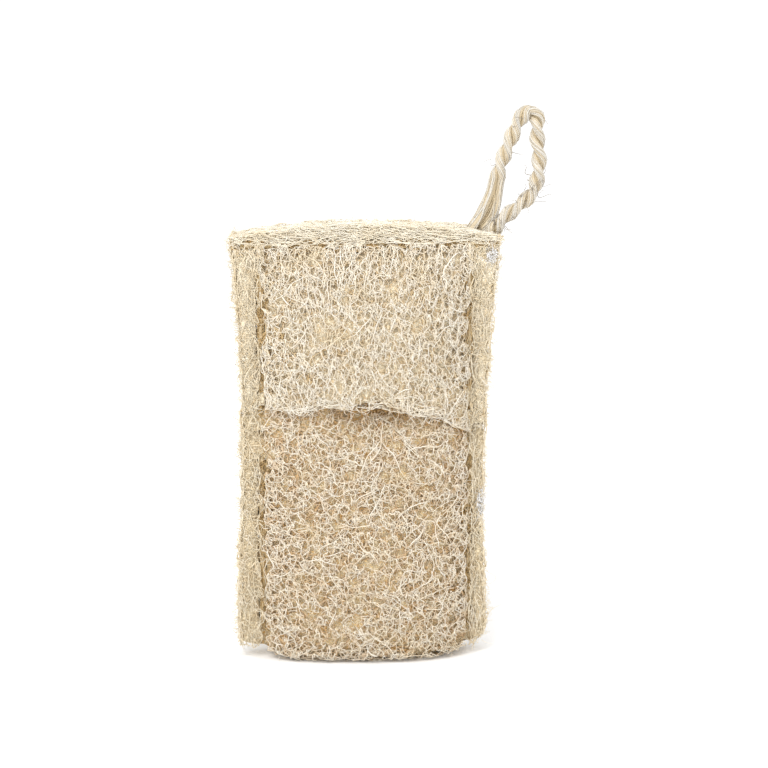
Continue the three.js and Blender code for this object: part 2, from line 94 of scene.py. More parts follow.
# The corner that holds the rope's ends: its walls are thin, and the seam is covered over there
ROPE_CORNER_X = 28 * MM
ROPE_CORNER_Z = 129 * MM
CORNER_SEAM_Z = 131 * MM
CORNER_SEAM_LAP = 1.3 * MM

# The side hems lean to the left towards the foot, and the right one is rounded off at its lower corner
HEM_LEAN = 1.3 * MM
HEM_LEAN_HIGH_Z = 100 * MM
HEM_LEAN_LOW_Z = 50 * MM
HEM_LEAN_REACH = 7 * MM
CORNER_CUT = 5 * MM
CORNER_Z = 12.5 * MM

# No fibre lies under the surface that the pouch stands on
FLOOR_CLEARANCE = 0.2 * MM

# The pocket's front comes up to the flap's edge, with the gap of the slit between them
BELLY_TOP_Z = 68 * MM
SLIT_MIDDLE_X = 2.5 * MM
SLIT_HALF_WIDTH = 13 * MM
SLIT_DEPTH = 5.5 * MM
CLOSED_SLIT_DEPTH = 1.5 * MM
# Painted shade: just under the flap's edge the pocket's fibres and pith are coloured browner, most where
# the slit is open
SLIT_SHADE_REACH = 4.4 * MM
SLIT_SHADE_LOW_Z = 83 * MM
SLIT_SHADE_FRONT_Y = -5 * MM
CLOSED_SLIT_SHADE = 0.2
UNDER_FLAP_REACH = 3 * MM

# A pale streak that runs down to the right from the slit
STREAK_TOP_Z = 86 * MM
STREAK_HALF_WIDTH = 1.2 * MM
STREAK_END_X = 18 * MM

# The pith: the solids' own skin, drawn in under the fibres, less so in the hems and round the rope
PITH_INSET = 0.7 * MM
PITH_MERGE = 0.01 * MM
PITH_LUMPS_PER_M = 350
PITH_LUMP = 0.35 * MM
PITH_HEM_SHARE = 0.5
PITH_CORNER_SHARE = 0.15
PITH_FRONT_NORMAL = -0.3

# The cores of the seams: half their width, half their depth, and where they start and end
CORE_HALF_WIDTH = 1.1 * MM
CORE_DEPTH = 3.7 * MM
SIDE_CORE_Z = (11 * MM, 139.5 * MM)
TOP_CORE_X = (-41 * MM, 41.5 * MM)

Array = np.ndarray
Colour = tuple[float, float, float]
Socket = bpy.types.NodeSocket


class Facing(Enum):
    """A side of the pouch, as the axes across and up it, the axis out of it and that axis's sign."""

    FRONT = (0, 2, 1, -1)
    BACK = (0, 2, 1, 1)
    LEFT = (1, 2, 0, -1)
    RIGHT = (1, 2, 0, 1)
    TOP = (0, 1, 2, 1)
    BASE = (0, 1, 2, -1)


def eased(share: Array) -> Array:
    """A share held between 0 and 1, with a soft start and end."""
    held = np.clip(share, 0, 1)
    return held**2 * (3 - 2 * held)


def flap_edge(x: Array) -> Array:
    """Height of the flap's free lower edge at distances x from the middle of the pouch."""
    share = np.clip(np.abs(x) / SIDE_SEAM_X, 0, 1)
    drop = np.where(x < 0, FLAP_EDGE_LEFT_DROP * share, FLAP_EDGE_RIGHT_DROP * share**1.5)
    tuft = FLAP_TUFT_DROP * np.exp(-((x / FLAP_TUFT_HALF_WIDTH) ** 2))
    return FLAP_EDGE_Z - drop - tuft + FLAP_WAVE_HEIGHT * np.sin(x / MM * FLAP_WAVE_TURN_PER_MM)


def slit_depth(x: Array) -> Array:
    """How far the pocket's front lies behind the flap's at the flap's edge, deepest at the open slit."""
    away = (x - SLIT_MIDDLE_X) / SLIT_HALF_WIDTH
    return CLOSED_SLIT_DEPTH + (SLIT_DEPTH - CLOSED_SLIT_DEPTH) * np.exp(-(away**4))


def hem_lean(x: Array, z: Array) -> Array:
    """How far a point of the side hems moves to the left: they lean, and the right corner is rounded."""
    lean = HEM_LEAN * eased((HEM_LEAN_HIGH_Z - z) / (HEM_LEAN_HIGH_Z - HEM_LEAN_LOW_Z))
    outside = np.clip((np.abs(x) - SIDE_SEAM_X - HEM_FROM) / HEM_LEAN_REACH, 0, 1)
    corner = np.where(x > 0, CORNER_CUT * np.clip(1 - z / CORNER_Z, 0, 1) ** 2, 0)
    return (lean + corner) * outside


def seam_gap(along: Array) -> Array:
    """Half the width of the groove at a seam, which opens and closes along it."""
    ripple = SEAM_RIPPLE_SWING * np.sin(along / SEAM_RIPPLE)
    return SEAM_GAP * (SEAM_GAP_MEAN + SEAM_GAP_SWING * np.sin(along / SEAM_WAVE + ripple))


def add_object(name: str, data: bpy.types.ID) -> bpy.types.Object:
    """Adds an object to the scene."""
    added = bpy.data.objects.new(name, data)
    bpy.context.scene.collection.objects.link(added)
    return added


def add_shape(name: str, shape: bmesh.types.BMesh) -> bpy.types.Object:
    """Turns a worked shape into an object, and frees the shape."""
    mesh = bpy.data.meshes.new(name)
    shape.to_mesh(mesh)
    shape.free()
    return add_object(name, mesh)


def solid_tree(node: str) -> BVHTree:
    """Search tree of one solid's faces."""
    mesh = bpy.data.objects[node].data
    corners = [vertex.co for vertex in mesh.vertices]
    return BVHTree.FromPolygons(corners, [tuple(face.vertices) for face in mesh.polygons])


def neighbourhood(grid: Array, reach: int) -> Array:
    """Stacks a grid with copies of itself moved by up to reach cells each way."""
    padded = np.pad(grid, reach, mode="edge")
    rows, columns = grid.shape
    moves = range(2 * reach + 1)
    return np.stack([padded[j : j + rows, i : i + columns] for j in moves for i in moves])


@cache
def read_skin(nodes: tuple[str, ...], facing: Facing) -> tuple[Array, Array, Array]:
    """Reads the outer skin of one side of some solids by straight sight lines.

    Args:
        nodes: The solids' names.
        facing: The side that is read.

    Returns:
        The grid's places across the side, those up it, and the skin's distance from the middle.
    """
    u_axis, v_axis, w_axis, sign = facing.value
    boxes = [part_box(node) for node in nodes]
    low = np.min([box[0] for box in boxes], axis=0) - Relief.RIM
    high = np.max([box[1] for box in boxes], axis=0) + Relief.RIM
    across = np.arange(low[u_axis], high[u_axis], Relief.STEP)
    upward = np.arange(low[v_axis], high[v_axis], Relief.STEP)
    trees = [solid_tree(node) for node in nodes]
    out = Vector((0, 0, 0))
    out[w_axis] = sign
    heights = np.full((len(upward), len(across)), -np.inf)
    for j, v in enumerate(upward):
        for i, u in enumerate(across):
            start = out * Relief.SIGHT_FROM
            start[u_axis] = u
            start[v_axis] = v
            for tree in trees:
                hit = tree.ray_cast(start, -out)[0]
                if hit is not None:
                    heights[j, i] = max(heights[j, i], sign * hit[w_axis])
    return across, upward, heights


class Relief:
    """The outer skin of one side of some solids, evened out."""

    STEP = 1 * MM
    RIM = 4 * MM
    SIGHT_FROM = 0.5
    CREST_REACH = 2
    BLUR_REACH = 2
    LEAST = 0.4 * MM

    def __init__(
        self, nodes: tuple[str, ...], facing: Facing, least: float = LEAST, margin: int = 0
    ) -> None:
        """Evens the skin out on its grid.

        Args:
            nodes: The solids' names.
            facing: The side that is read.
            least: Skin nearer than this to the pouch's middle is left out.
            margin: How many cells the patch runs on past the skin's edge.
        """
        self.u_axis, self.v_axis, self.w_axis, self.sign = facing.value
        self.u, self.v, read = read_skin(nodes, facing)
        self.covered = read > least
        filled = self._fill(np.where(self.covered, read, -np.inf))
        if margin:
            self.covered = neighbourhood(self.covered, margin).any(axis=0)
        crest = neighbourhood(filled, self.CREST_REACH).max(axis=0)
        self.skin = neighbourhood(crest, self.BLUR_REACH).mean(axis=0)

    @staticmethod
    def _fill(heights: Array) -> Array:
        """Spreads the skin's height outwards over the cells that no sight line hit."""
        filled = heights.copy()
        while np.isinf(filled).any():
            spread = neighbourhood(filled, 1).max(axis=0)
            filled = np.where(np.isinf(filled), spread, filled)
        return filled

    def _cells(self, u: Array, v: Array) -> tuple[Array, Array]:
        """Grid coordinates of points, held inside the grid."""
        i = np.clip((u - self.u[0]) / self.STEP, 0, len(self.u) - 1.001)
        j = np.clip((v - self.v[0]) / self.STEP, 0, len(self.v) - 1.001)
        return i, j

    def meet_flap(self) -> None:
        """Brings the pocket's front up to just behind the flap's free edge."""
        edge = flap_edge(self.u)
        flap = Relief(FLAP, Facing.FRONT)
        behind = flap.outward(self.u, edge + UNDER_FLAP_REACH) - slit_depth(self.u)
        belly = self.outward(self.u, np.full(self.u.shape, BELLY_TOP_Z))
        up = self.v[:, None]
        share = (up - BELLY_TOP_Z) / (edge - BELLY_TOP_Z)
        wanted = belly * (1 - eased(share)) + behind * eased(share)
        reached = (share > 0) & (up < edge + UNDER_FLAP_REACH) & (np.abs(self.u) < SIDE_SEAM_X)
        self.skin = np.where(reached, np.maximum(self.skin, wanted), self.skin)

    def inside(self, u: Array, v: Array) -> Array:
        """Tells which points lie over the skin."""
        i, j = self._cells(u, v)
        return self.covered[np.rint(j).astype(int), np.rint(i).astype(int)]

    def outward(self, u: Array, v: Array) -> Array:
        """Distance of the evened skin from the pouch's middle at each point."""
        i, j = self._cells(u, v)
        i0, j0 = i.astype(int), j.astype(int)
        a, b = i - i0, j - j0
        low = self.skin[j0, i0] * (1 - a) + self.skin[j0, i0 + 1] * a
        high = self.skin[j0 + 1, i0] * (1 - a) + self.skin[j0 + 1, i0 + 1] * a
        return low * (1 - b) + high * b

    def place(self, u: Array, v: Array, lift: Array) -> Array:
        """Puts points on the skin, raised by lift.

        Args:
            u: Distances across the side.
            v: Distances up the side.
            lift: Heights above the evened skin, square to it.

        Returns:
            The points in space, along a new last axis.
        """
        e = self.STEP
        slope_u = (self.outward(u + e, v) - self.outward(u - e, v)) / (2 * e)
        slope_v = (self.outward(u, v + e) - self.outward(u, v - e)) / (2 * e)
        square = lift / np.sqrt(1 + slope_u**2 + slope_v**2)
        points = np.empty(u.shape + (3,))
        points[..., self.u_axis] = u - slope_u * square
        points[..., self.v_axis] = v - slope_v * square
        points[..., self.w_axis] = self.sign * (self.outward(u, v) + square)
        return points


class Nodes:
    """Builds a material's node tree link by link."""

    def __init__(self, name: str) -> None:
        """Starts a surface material of that name."""
        self.material = bpy.data.materials.new(name)
        self.material.use_nodes = True
        self.tree = self.material.node_tree
        self.surface = self.tree.nodes["Principled BSDF"]
        self.place = self.add("ShaderNodeTexCoord").outputs["Object"]

    def add(self, kind: str, inputs: dict | None = None, **settings) -> bpy.types.Node:
        """Adds a node.

        Args:
            kind: The node's type.
            inputs: Values or output sockets for its input sockets, by name or number.
            settings: Values of the node's own properties.

        Returns:
            The node.
        """
        node = self.tree.nodes.new(kind)
        for key, value in settings.items():
            setattr(node, key, value)
        for key, value in (inputs or {}).items():
            self.set(node, key, value)
        return node

    def set(self, node: bpy.types.Node, key: str | int, value) -> None:
        """Sets or links one input socket."""
        socket = node.inputs[key]
        if isinstance(value, Socket):
            self.tree.links.new(value, socket)
        elif socket.type == "RGBA":
            socket.default_value = (*value, 1.0)
        else:
            socket.default_value = value

    def math(self, operation: str, *values: Socket | float, clamp: bool = False) -> Socket:
        """Works out one sum or comparison of numbers or sockets."""
        inputs = dict(enumerate(values))
        return self.add("ShaderNodeMath", inputs, operation=operation, use_clamp=clamp).outputs[0]

    def noise(self, scale: float, detail: float = 2, roughness: float = 0.5) -> Socket:
        """Noise over the object, scale features to the metre."""
        values = {"Vector": self.place, "Scale": scale, "Detail": detail, "Roughness": roughness}
        return self.add("ShaderNodeTexNoise", values).outputs["Fac"]

    def patches(self, scale: float, start: float, end: float, *rest: float) -> Socket:
        """Patches of that noise: 0 where it is below start, 1 where it is above end."""
        return self.ramp(self.noise(scale, *rest), start, end)

    def attribute(self, name: str) -> Socket:
        """A number kept at each point of the mesh."""
        return self.add("ShaderNodeAttribute", attribute_name=name).outputs["Fac"]

    def ramp(self, value: Socket, start: float, end: float) -> Socket:
        """Stretches the stretch from start to end of a value to run from 0 to 1."""
        values = {"Value": value, "From Min": start, "From Max": end}
        return self.add("ShaderNodeMapRange", values).outputs["Result"]

    def mix(self, share: Socket, first: Socket | Colour, second: Socket | Colour) -> Socket:
        """Mixes two colours."""
        return self.add("ShaderNodeMix", {0: share, 6: first, 7: second}, data_type="RGBA").outputs[2]

    def dress(self, colour: Socket, roughness: float, height: Socket, depth: float) -> bpy.types.Material:
        """Gives the surface its colour, its roughness and a bump that is depth metres deep."""
        values = {"Height": height, "Distance": depth, "Strength": 1.0}
        bump = self.add("ShaderNodeBump", values).outputs["Normal"]
        for key, value in (("Base Color", colour), ("Roughness", roughness), ("Normal", bump)):
            self.set(self.surface, key, value)
        return self.material


@dataclass(frozen=True)
class FibreFinish:
    """Dry plant fibre: pale where it lies on top, straw and golden brown where it lies deep, partly its own
    straw tone and partly painted shade.
    """

    name: str
    pale: Colour
    straw: Colour
    deep: Colour
    white: Colour = (0.97, 0.94, 0.86)

    STAINED = (85, 0.5, 0.75, 3)
    BLEACHED = (170, 0.48, 0.72)
    BLOTCHED = (330, 0.56, 0.7)
    BLOTCH_SHARE = 0.35
    ROUGHNESS = 0.7
    GRAIN_PER_M = 2500
    GRAIN_DEPTH = 0.05 * MM

    def material(self) -> bpy.types.Material:
        """Makes the fibre material, which reads each fibre's tone and depth."""
        nodes = Nodes(self.name)
        strawy = nodes.math("MAXIMUM", nodes.attribute("tone"), nodes.patches(*self.STAINED))
        dry = nodes.mix(nodes.patches(*self.BLEACHED), self.pale, self.white)
        dry = nodes.mix(strawy, dry, self.straw)
        blotch = nodes.patches(*self.BLOTCHED)
        # Painted shade: depth, and the painted shade under the flap, brown the fibres; the blotches are the
        # fibre's own patches
        sunk = nodes.attribute("sunk")
        blotch_and_shade = nodes.math("MULTIPLY_ADD", blotch, self.BLOTCH_SHARE, sunk, clamp=True)
        colour = nodes.mix(blotch_and_shade, dry, self.deep)
        return nodes.dress(colour, self.ROUGHNESS, nodes.noise(self.GRAIN_PER_M), self.GRAIN_DEPTH)


@dataclass(frozen=True)
class PithFinish:
    """The loofah's deeper layers behind the loose fibres: a fine pale web over tan and brown pores."""

    name: str
    web: Colour
    tan: Colour
    pore: Colour
    hem: Colour
    # How strongly the pith is painted with shade where it goes in under the flap's edge
    slit_shade_share: float = 0.0

    CELLS_PER_M = 620
    FINE_CELLS = 1.9
    BROAD_THREAD = 0.09
    FINE_THREAD = 0.12
    THREAD_CORE = 0.35
    WARPS_PER_M = 420
    WARP = 1.6 * MM
    MOTTLED = (240, 0.4, 0.6, 4, 0.6)
    SIDE_BLEND = 2 * MM
    TOP_BLEND = 1 * MM
    ROUGHNESS = 0.85
    WEB_DEPTH = 0.5 * MM

    def material(self) -> bpy.types.Material:
        """Makes the material from two sizes of warped web, with the hems in a colour of their own."""
        nodes = Nodes(self.name)
        values = {"Vector": nodes.place, "Scale": self.WARPS_PER_M, "Detail": 2.0}
        warp = nodes.add("ShaderNodeTexNoise", values).outputs["Color"]
        inputs = {0: warp, 1: (self.WARP, self.WARP, self.WARP), 2: nodes.place}
        bent = nodes.add("ShaderNodeVectorMath", inputs, operation="MULTIPLY_ADD").outputs["Vector"]
        broad = self._web(nodes, bent, self.CELLS_PER_M, self.BROAD_THREAD)
        fine = self._web(nodes, bent, self.CELLS_PER_M * self.FINE_CELLS, self.FINE_THREAD)
        web = nodes.math("MAXIMUM", broad, fine)
        x, y, z = nodes.add("ShaderNodeSeparateXYZ", {"Vector": nodes.place}).outputs
        side = nodes.ramp(nodes.math("ABSOLUTE", x), SIDE_SEAM_X, SIDE_SEAM_X + self.SIDE_BLEND)
        top = nodes.ramp(z, TOP_SEAM_Z, TOP_SEAM_Z + self.TOP_BLEND)
        hems = nodes.math("MAXIMUM", side, top)
        ground = nodes.mix(nodes.patches(*self.MOTTLED), self.pore, self.tan)
        colour = nodes.mix(web, nodes.mix(hems, ground, self.hem), self.web)
        # Painted shade: the pith is browned towards its pore colour where it goes in under the flap
        if self.slit_shade_share > 0:
            colour = nodes.mix(self._slit_shade(nodes, y, z, hems), colour, self.pore)
        return nodes.dress(colour, self.ROUGHNESS, web, self.WEB_DEPTH)

    def _slit_shade(self, nodes: Nodes, y: Socket, z: Socket, hems: Socket) -> Socket:
        """Painted shade under the flap: how brown the pocket's front is where it goes in under it, 0 below
        it and in the hems.
        """
        height = nodes.ramp(z, SLIT_SHADE_LOW_Z, FLAP_EDGE_Z)
        front = nodes.ramp(y, 0, SLIT_SHADE_FRONT_Y)
        inside = nodes.math("SUBTRACT", nodes.math("MULTIPLY", height, front), hems, clamp=True)
        return nodes.math("MULTIPLY", inside, self.slit_shade_share)

    def _web(self, nodes: Nodes, place: Socket, cells: float, thread: float) -> Socket:
        """A net of threads between cells, 1 on the threads and 0 in the cells."""
        values = {"Vector": place, "Scale": cells}
        edge = nodes.add("ShaderNodeTexVoronoi", values, feature="DISTANCE_TO_EDGE").outputs["Distance"]
        return nodes.ramp(edge, thread, thread * self.THREAD_CORE)


@dataclass(frozen=True)
class RopeFinish:
    """Glossy pale plant fibre, golden in the lay between the strands: partly each fibre's own tone, partly
    painted shade.
    """

    name: str
    pale: Colour
    golden: Colour

    ROUGHNESS = 0.42
    SHEEN = 0.2
    GRAIN_PER_M = 3000
    GRAIN_DEPTH = 0.04 * MM

    def material(self) -> bpy.types.Material:
        """Makes the rope's material, which paints golden shade by how deep each fibre lies between the
        strands.
        """
        nodes = Nodes(self.name)
        share = nodes.math("ADD", nodes.attribute("tone"), nodes.attribute("sunk"), clamp=True)
        nodes.set(nodes.surface, "Sheen Weight", self.SHEEN)
        colour = nodes.mix(share, self.pale, self.golden)
        return nodes.dress(colour, self.ROUGHNESS, nodes.noise(self.GRAIN_PER_M), self.GRAIN_DEPTH)


@dataclass(frozen=True)
class ThreadFinish:
    """Soft cotton sewing thread, coloured tan like the shaded seam grooves that it lies in: painted shade.
    """

    name: str
    light: Colour
    dark: Colour

    PLIES = (1800, 0.4, 0.6)
    ROUGHNESS = 0.8
    GRAIN_PER_M = 2600
    GRAIN_DEPTH = 0.1 * MM

    def material(self) -> bpy.types.Material:
        """Makes the thread's material."""
        nodes = Nodes(self.name)
        colour = nodes.mix(nodes.patches(*self.PLIES), self.dark, self.light)
        return nodes.dress(colour, self.ROUGHNESS, nodes.noise(self.GRAIN_PER_M), self.GRAIN_DEPTH)


POCKET_FIBRE = FibreFinish("pocket_fibre", (0.94, 0.88, 0.77), (0.85, 0.72, 0.5), (0.6, 0.36, 0.13))
FLAP_FIBRE = FibreFinish("flap_fibre", (0.95, 0.9, 0.81), (0.88, 0.77, 0.57), (0.68, 0.5, 0.26))
STREAK_FIBRE = FibreFinish("streak_fibre", (0.92, 0.85, 0.7), (0.88, 0.77, 0.57), (0.78, 0.63, 0.4))
HEM_FIBRE = FibreFinish(
    "hem_fibre", (0.86, 0.78, 0.62), (0.82, 0.69, 0.47), (0.72, 0.56, 0.33), (0.93, 0.88, 0.78)
)
TOP_FIBRE = FibreFinish(
    "top_hem_fibre", (0.94, 0.88, 0.75), (0.9, 0.8, 0.61), (0.84, 0.7, 0.49), (0.97, 0.93, 0.84)
)
# Painted shade: the seam fibres are coloured darker golden brown for the shade in the seam grooves
SEAM_FIBRE = FibreFinish(
    "seam_fibre", (0.78, 0.6, 0.33), (0.68, 0.48, 0.22), (0.56, 0.36, 0.14), (0.84, 0.72, 0.5)
)
COTTON = FibreFinish(
    "cotton", (0.91, 0.9, 0.89), (0.86, 0.84, 0.82), (0.78, 0.75, 0.72), (0.95, 0.95, 0.94)
)
ROPE_FIBRE = RopeFinish("rope_fibre", (0.69, 0.66, 0.6), (0.56, 0.45, 0.28))
ROPE_FRAY = RopeFinish("rope_fray", (0.34, 0.29, 0.23), (0.22, 0.17, 0.12))
# Painted shade: the thread takes the colour of the shaded seam grooves
THREAD = ThreadFinish("seam_thread", (0.74, 0.62, 0.42), (0.6, 0.47, 0.28))
# The pocket's pith also takes painted shade under the flap's edge
POCKET_PITH = PithFinish(
    "pocket_pith", (0.84, 0.7, 0.47), (0.72, 0.52, 0.26), (0.5, 0.3, 0.11), (0.82, 0.69, 0.47),
    slit_shade_share=0.85,
)
FLAP_PITH = PithFinish(
    "flap_pith", (0.9, 0.79, 0.58), (0.8, 0.64, 0.41), (0.58, 0.41, 0.22), (0.87, 0.77, 0.59)
)
# Painted shade: the seam pith, used for the seam cores, is darker brown for the shade in the seam grooves
SEAM_PITH = PithFinish(
    "seam_pith", (0.8, 0.62, 0.34), (0.7, 0.5, 0.24), (0.56, 0.36, 0.15), (0.7, 0.5, 0.24)
)


Finish = FibreFinish | PithFinish | RopeFinish


def finish_piece(piece: bpy.types.Object, finish: Finish, replaced: str) -> None:
    """Dresses a piece and ties it to the frame.

    Args:
        piece: The piece.
        finish: The finish that makes its material.
        replaced: Name of the solid that it stands for.
    """
    material = bpy.data.materials.get(finish.name) or finish.material()
    piece.data.materials.clear()
    piece.data.materials.append(material)
    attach(piece, BODY)
    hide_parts(replaced)
    log.info("%s: %d faces", piece.name, len(piece.data.polygons))


class FibreBundle:
    """Fibres gathered as centre lines, and made into one mesh of thin tubes."""

    def __init__(self, sides: int = 3) -> None:
        """Starts an empty bundle, whose tubes will have that many flat sides."""
        self.sides = sides
        self.groups: list[tuple[Array, Array, Array, Array]] = []

    def add(self, lines: Array, radii: Array, tones: Array, sunk: Array) -> None:
        """Adds fibres with the same number of points.

        Args:
            lines: Centre lines, by fibre, point and axis.
            radii: Radius at each point.
            tones: How strawy each fibre is, from 0 to 1.
            sunk: How deep each point lies, from 0 on top to 1, which the materials paint as shade.
        """
        if len(lines):
            self.groups.append((lines, radii, tones, sunk))

    def piece(self, name: str) -> bpy.types.Object:
        """Makes the bundle's mesh, with each point's tone and depth kept on it."""
        profile = self._profile()
        curve = bpy.data.curves.new(name, "CURVE")
        curve.dimensions = "3D"
        curve.bevel_mode = "OBJECT"
        curve.bevel_object = profile
        for lines, radii, _, _ in self.groups:
            points = np.concatenate([lines, np.ones(lines.shape[:2] + (1,))], axis=2)
            for line, radius in zip(points, radii):
                spline = curve.splines.new("POLY")
                spline.points.add(len(line) - 1)
                spline.points.foreach_set("co", line.ravel())
                spline.points.foreach_set("radius", radius)
        holder = add_object(name + "_lines", curve)
        seen = holder.evaluated_get(bpy.context.evaluated_depsgraph_get())
        mesh = bpy.data.meshes.new_from_object(seen)
        mesh.name = name
        self._keep(mesh, "tone", [np.repeat(t, lines.shape[1]) for lines, _, t, _ in self.groups])
        self._keep(mesh, "sunk", [s.ravel() for _, _, _, s in self.groups])
        for used in (holder, profile):
            bpy.data.objects.remove(used)
        self._close(mesh)
        return add_object(name, mesh)

    def _profile(self) -> bpy.types.Object:
        """The section that is swept along every fibre."""
        curve = bpy.data.curves.new("fibre_section", "CURVE")
        curve.dimensions = "2D"
        spline = curve.splines.new("POLY")
        spline.points.add(self.sides - 1)
        for k, point in enumerate(spline.points):
            angle = 2 * math.pi * k / self.sides
            point.co = (math.cos(angle), math.sin(angle), 0, 1)
        spline.use_cyclic_u = True
        return add_object("fibre_section", curve)

    def _keep(self, mesh: bpy.types.Mesh, name: str, values: list[Array]) -> None:
        """Keeps a number at each point of the mesh, the same all round a fibre."""
        kept = np.repeat(np.concatenate(values), self.sides).astype(np.float32)
        mesh.attributes.new(name, "FLOAT", "POINT").data.foreach_set("value", kept)

    @staticmethod
    def _close(mesh: bpy.types.Mesh) -> None:
        """Closes the fibres' ends, turns every face outwards and shades it smooth."""
        shape = bmesh.new()
        shape.from_mesh(mesh)
        open_edges = [edge for edge in shape.edges if edge.is_boundary]
        bmesh.ops.edgeloop_fill(shape, edges=open_edges)
        bmesh.ops.recalc_face_normals(shape, faces=shape.faces)
        for face in shape.faces:
            face.smooth = True
        shape.to_mesh(mesh)
        shape.free()


@dataclass(frozen=True)
class NetLayer:
    """One layer of the net: knots at random, each tied to its nearest neighbours by curved fibres."""

    spacing: float
    low: float
    high: float
    thick: float
    thin: float
    sunk: float = 0.0
    links: int = 3
    hub_share: float = 0.12
    bow: float = 0.2
    along: float = 1.0
    opened: float = 0.0


@dataclass(frozen=True)
class StrandLayer:
    """Long loose fibres that wander over the net."""

    length: float
    low: float
    high: float
    radius: float
    density: float
    heading: float = 0.0
    spread: float = math.pi
    wander: float = 0.25
    step: float = 2 * MM


@dataclass(frozen=True)
class FuzzLayer:
    """Loose ends that curl out of the net."""

    length: float
    height: float
    radius: float
    density: float


Layer = NetLayer | StrandLayer | FuzzLayer


class Zone(Enum):
    """Which part of a side a patch takes in."""

    WHOLE = "whole"
    BODY = "body"
    SIDE_HEMS = "side hems"
    TOP_HEM = "top hem"
    SIDE_SEAMS = "side seams"
    TOP_SEAM = "top seam"
    STREAK = "streak below the slit"
    COTTON = "cotton caught in the right hem"


class FlapSide(Enum):
    """Which side of the flap's lower edge a patch keeps to."""

    BOTH = "both"
    ABOVE = "above"
    BELOW = "below"
    ALONG = "along"


@dataclass(frozen=True)
class Patch:
    """One stretch of net: the skin, side and zone that it covers and the layers that make it."""

    nodes: tuple[str, ...]
    facing: Facing
    seed: int
    layers: list[Layer]
    zone: Zone = Zone.WHOLE
    flap_side: FlapSide = FlapSide.BOTH
    least: float = Relief.LEAST
    low_v: float = -1.0
    margin: int = 0
    ragged: float = 0.0
    meets_flap: bool = False

    RAGGED_ACROSS = 2.3 * MM
    RAGGED_UP = 3.4 * MM
    RAGGED_BEND = 5.1 * MM
    RAGGED_SWING = 1.7

    def keep(self, u: Array, v: Array) -> Array:
        """Tells which points belong to this patch."""
        return (v >= self.low_v) & self._in_zone(u, v) & self._by_flap(u, v)

    def _in_zone(self, u: Array, v: Array) -> Array:
        """Tells which points lie in the patch's zone."""
        side_gap = np.where(v > CORNER_SEAM_Z, -CORNER_SEAM_LAP, seam_gap(v))
        match self.zone:
            case Zone.BODY:
                below_top = v < TOP_SEAM_Z + TOP_SEAM_LAP - seam_gap(u)
                return (np.abs(u) < SIDE_SEAM_X - side_gap) & below_top
            case Zone.SIDE_HEMS:
                return (np.abs(u) > SIDE_SEAM_X + side_gap) & (v < TOP_SEAM_Z + SEAM_GAP)
            case Zone.TOP_HEM:
                return v > TOP_SEAM_Z - TOP_SEAM_LAP + seam_gap(u)
            case Zone.SIDE_SEAMS:
                along = (v > SIDE_SEAM_LOW_Z) & (v < TOP_SEAM_Z)
                return (np.abs(np.abs(u) - SIDE_SEAM_X) < SEAM_REACH) & along
            case Zone.TOP_SEAM:
                return np.abs(v - TOP_SEAM_Z) < SEAM_REACH
            case Zone.STREAK:
                across = (u + v - STREAK_TOP_Z - SLIT_MIDDLE_X) / math.sqrt(2)
                return (np.abs(across) < STREAK_HALF_WIDTH) & (u > SLIT_MIDDLE_X) & (u < STREAK_END_X)
            case Zone.COTTON:
                spots = [np.hypot((u - x) / a, (v - z) / b) < 1 for x, z, a, b in COTTON_SPOTS]
                return np.any(spots, axis=0)
        return np.ones(u.shape, bool)

    def _by_flap(self, u: Array, v: Array) -> Array:
        """Tells which points lie on the patch's side of the flap's edge."""
        match self.flap_side:
            case FlapSide.BELOW:
                return v < flap_edge(u) + LAP_UNDER_FLAP
            case FlapSide.ABOVE:
                return v > flap_edge(u) - LAP_BELOW_EDGE
            case FlapSide.ALONG:
                return np.abs(v - flap_edge(u) - LIP_MIDDLE) < LIP_HALF_WIDTH
        return np.ones(u.shape, bool)

    def rise(self, u: Array, v: Array) -> Array:
        """Extra height of the net: the uneven, hand-cut hems."""
        bend = self.RAGGED_SWING * np.sin(v / self.RAGGED_BEND)
        return self.ragged * np.sin(u / self.RAGGED_ACROSS + bend) * np.sin(v / self.RAGGED_UP + self.seed)

    def painted_slit_shade(self, u: Array, v: Array) -> Array:
        """Painted shade under the flap's edge: share by which the pocket's fibres are browner, most in the
        open slit.
        """
        if not self.meets_flap:
            return np.zeros(u.shape)
        below = (flap_edge(u) - v) / SLIT_SHADE_REACH
        openness = (slit_depth(u) - CLOSED_SLIT_DEPTH) / (SLIT_DEPTH - CLOSED_SLIT_DEPTH)
        share = CLOSED_SLIT_SHADE + (1 - CLOSED_SLIT_SHADE) * openness
        return share * np.exp(-np.maximum(below, 0) ** 2)

    def relief(self) -> Relief:
        """Reads the skin that this patch lies on."""
        relief = Relief(self.nodes, self.facing, self.least, self.margin)
        if self.meets_flap:
            relief.meet_flap()
        return relief


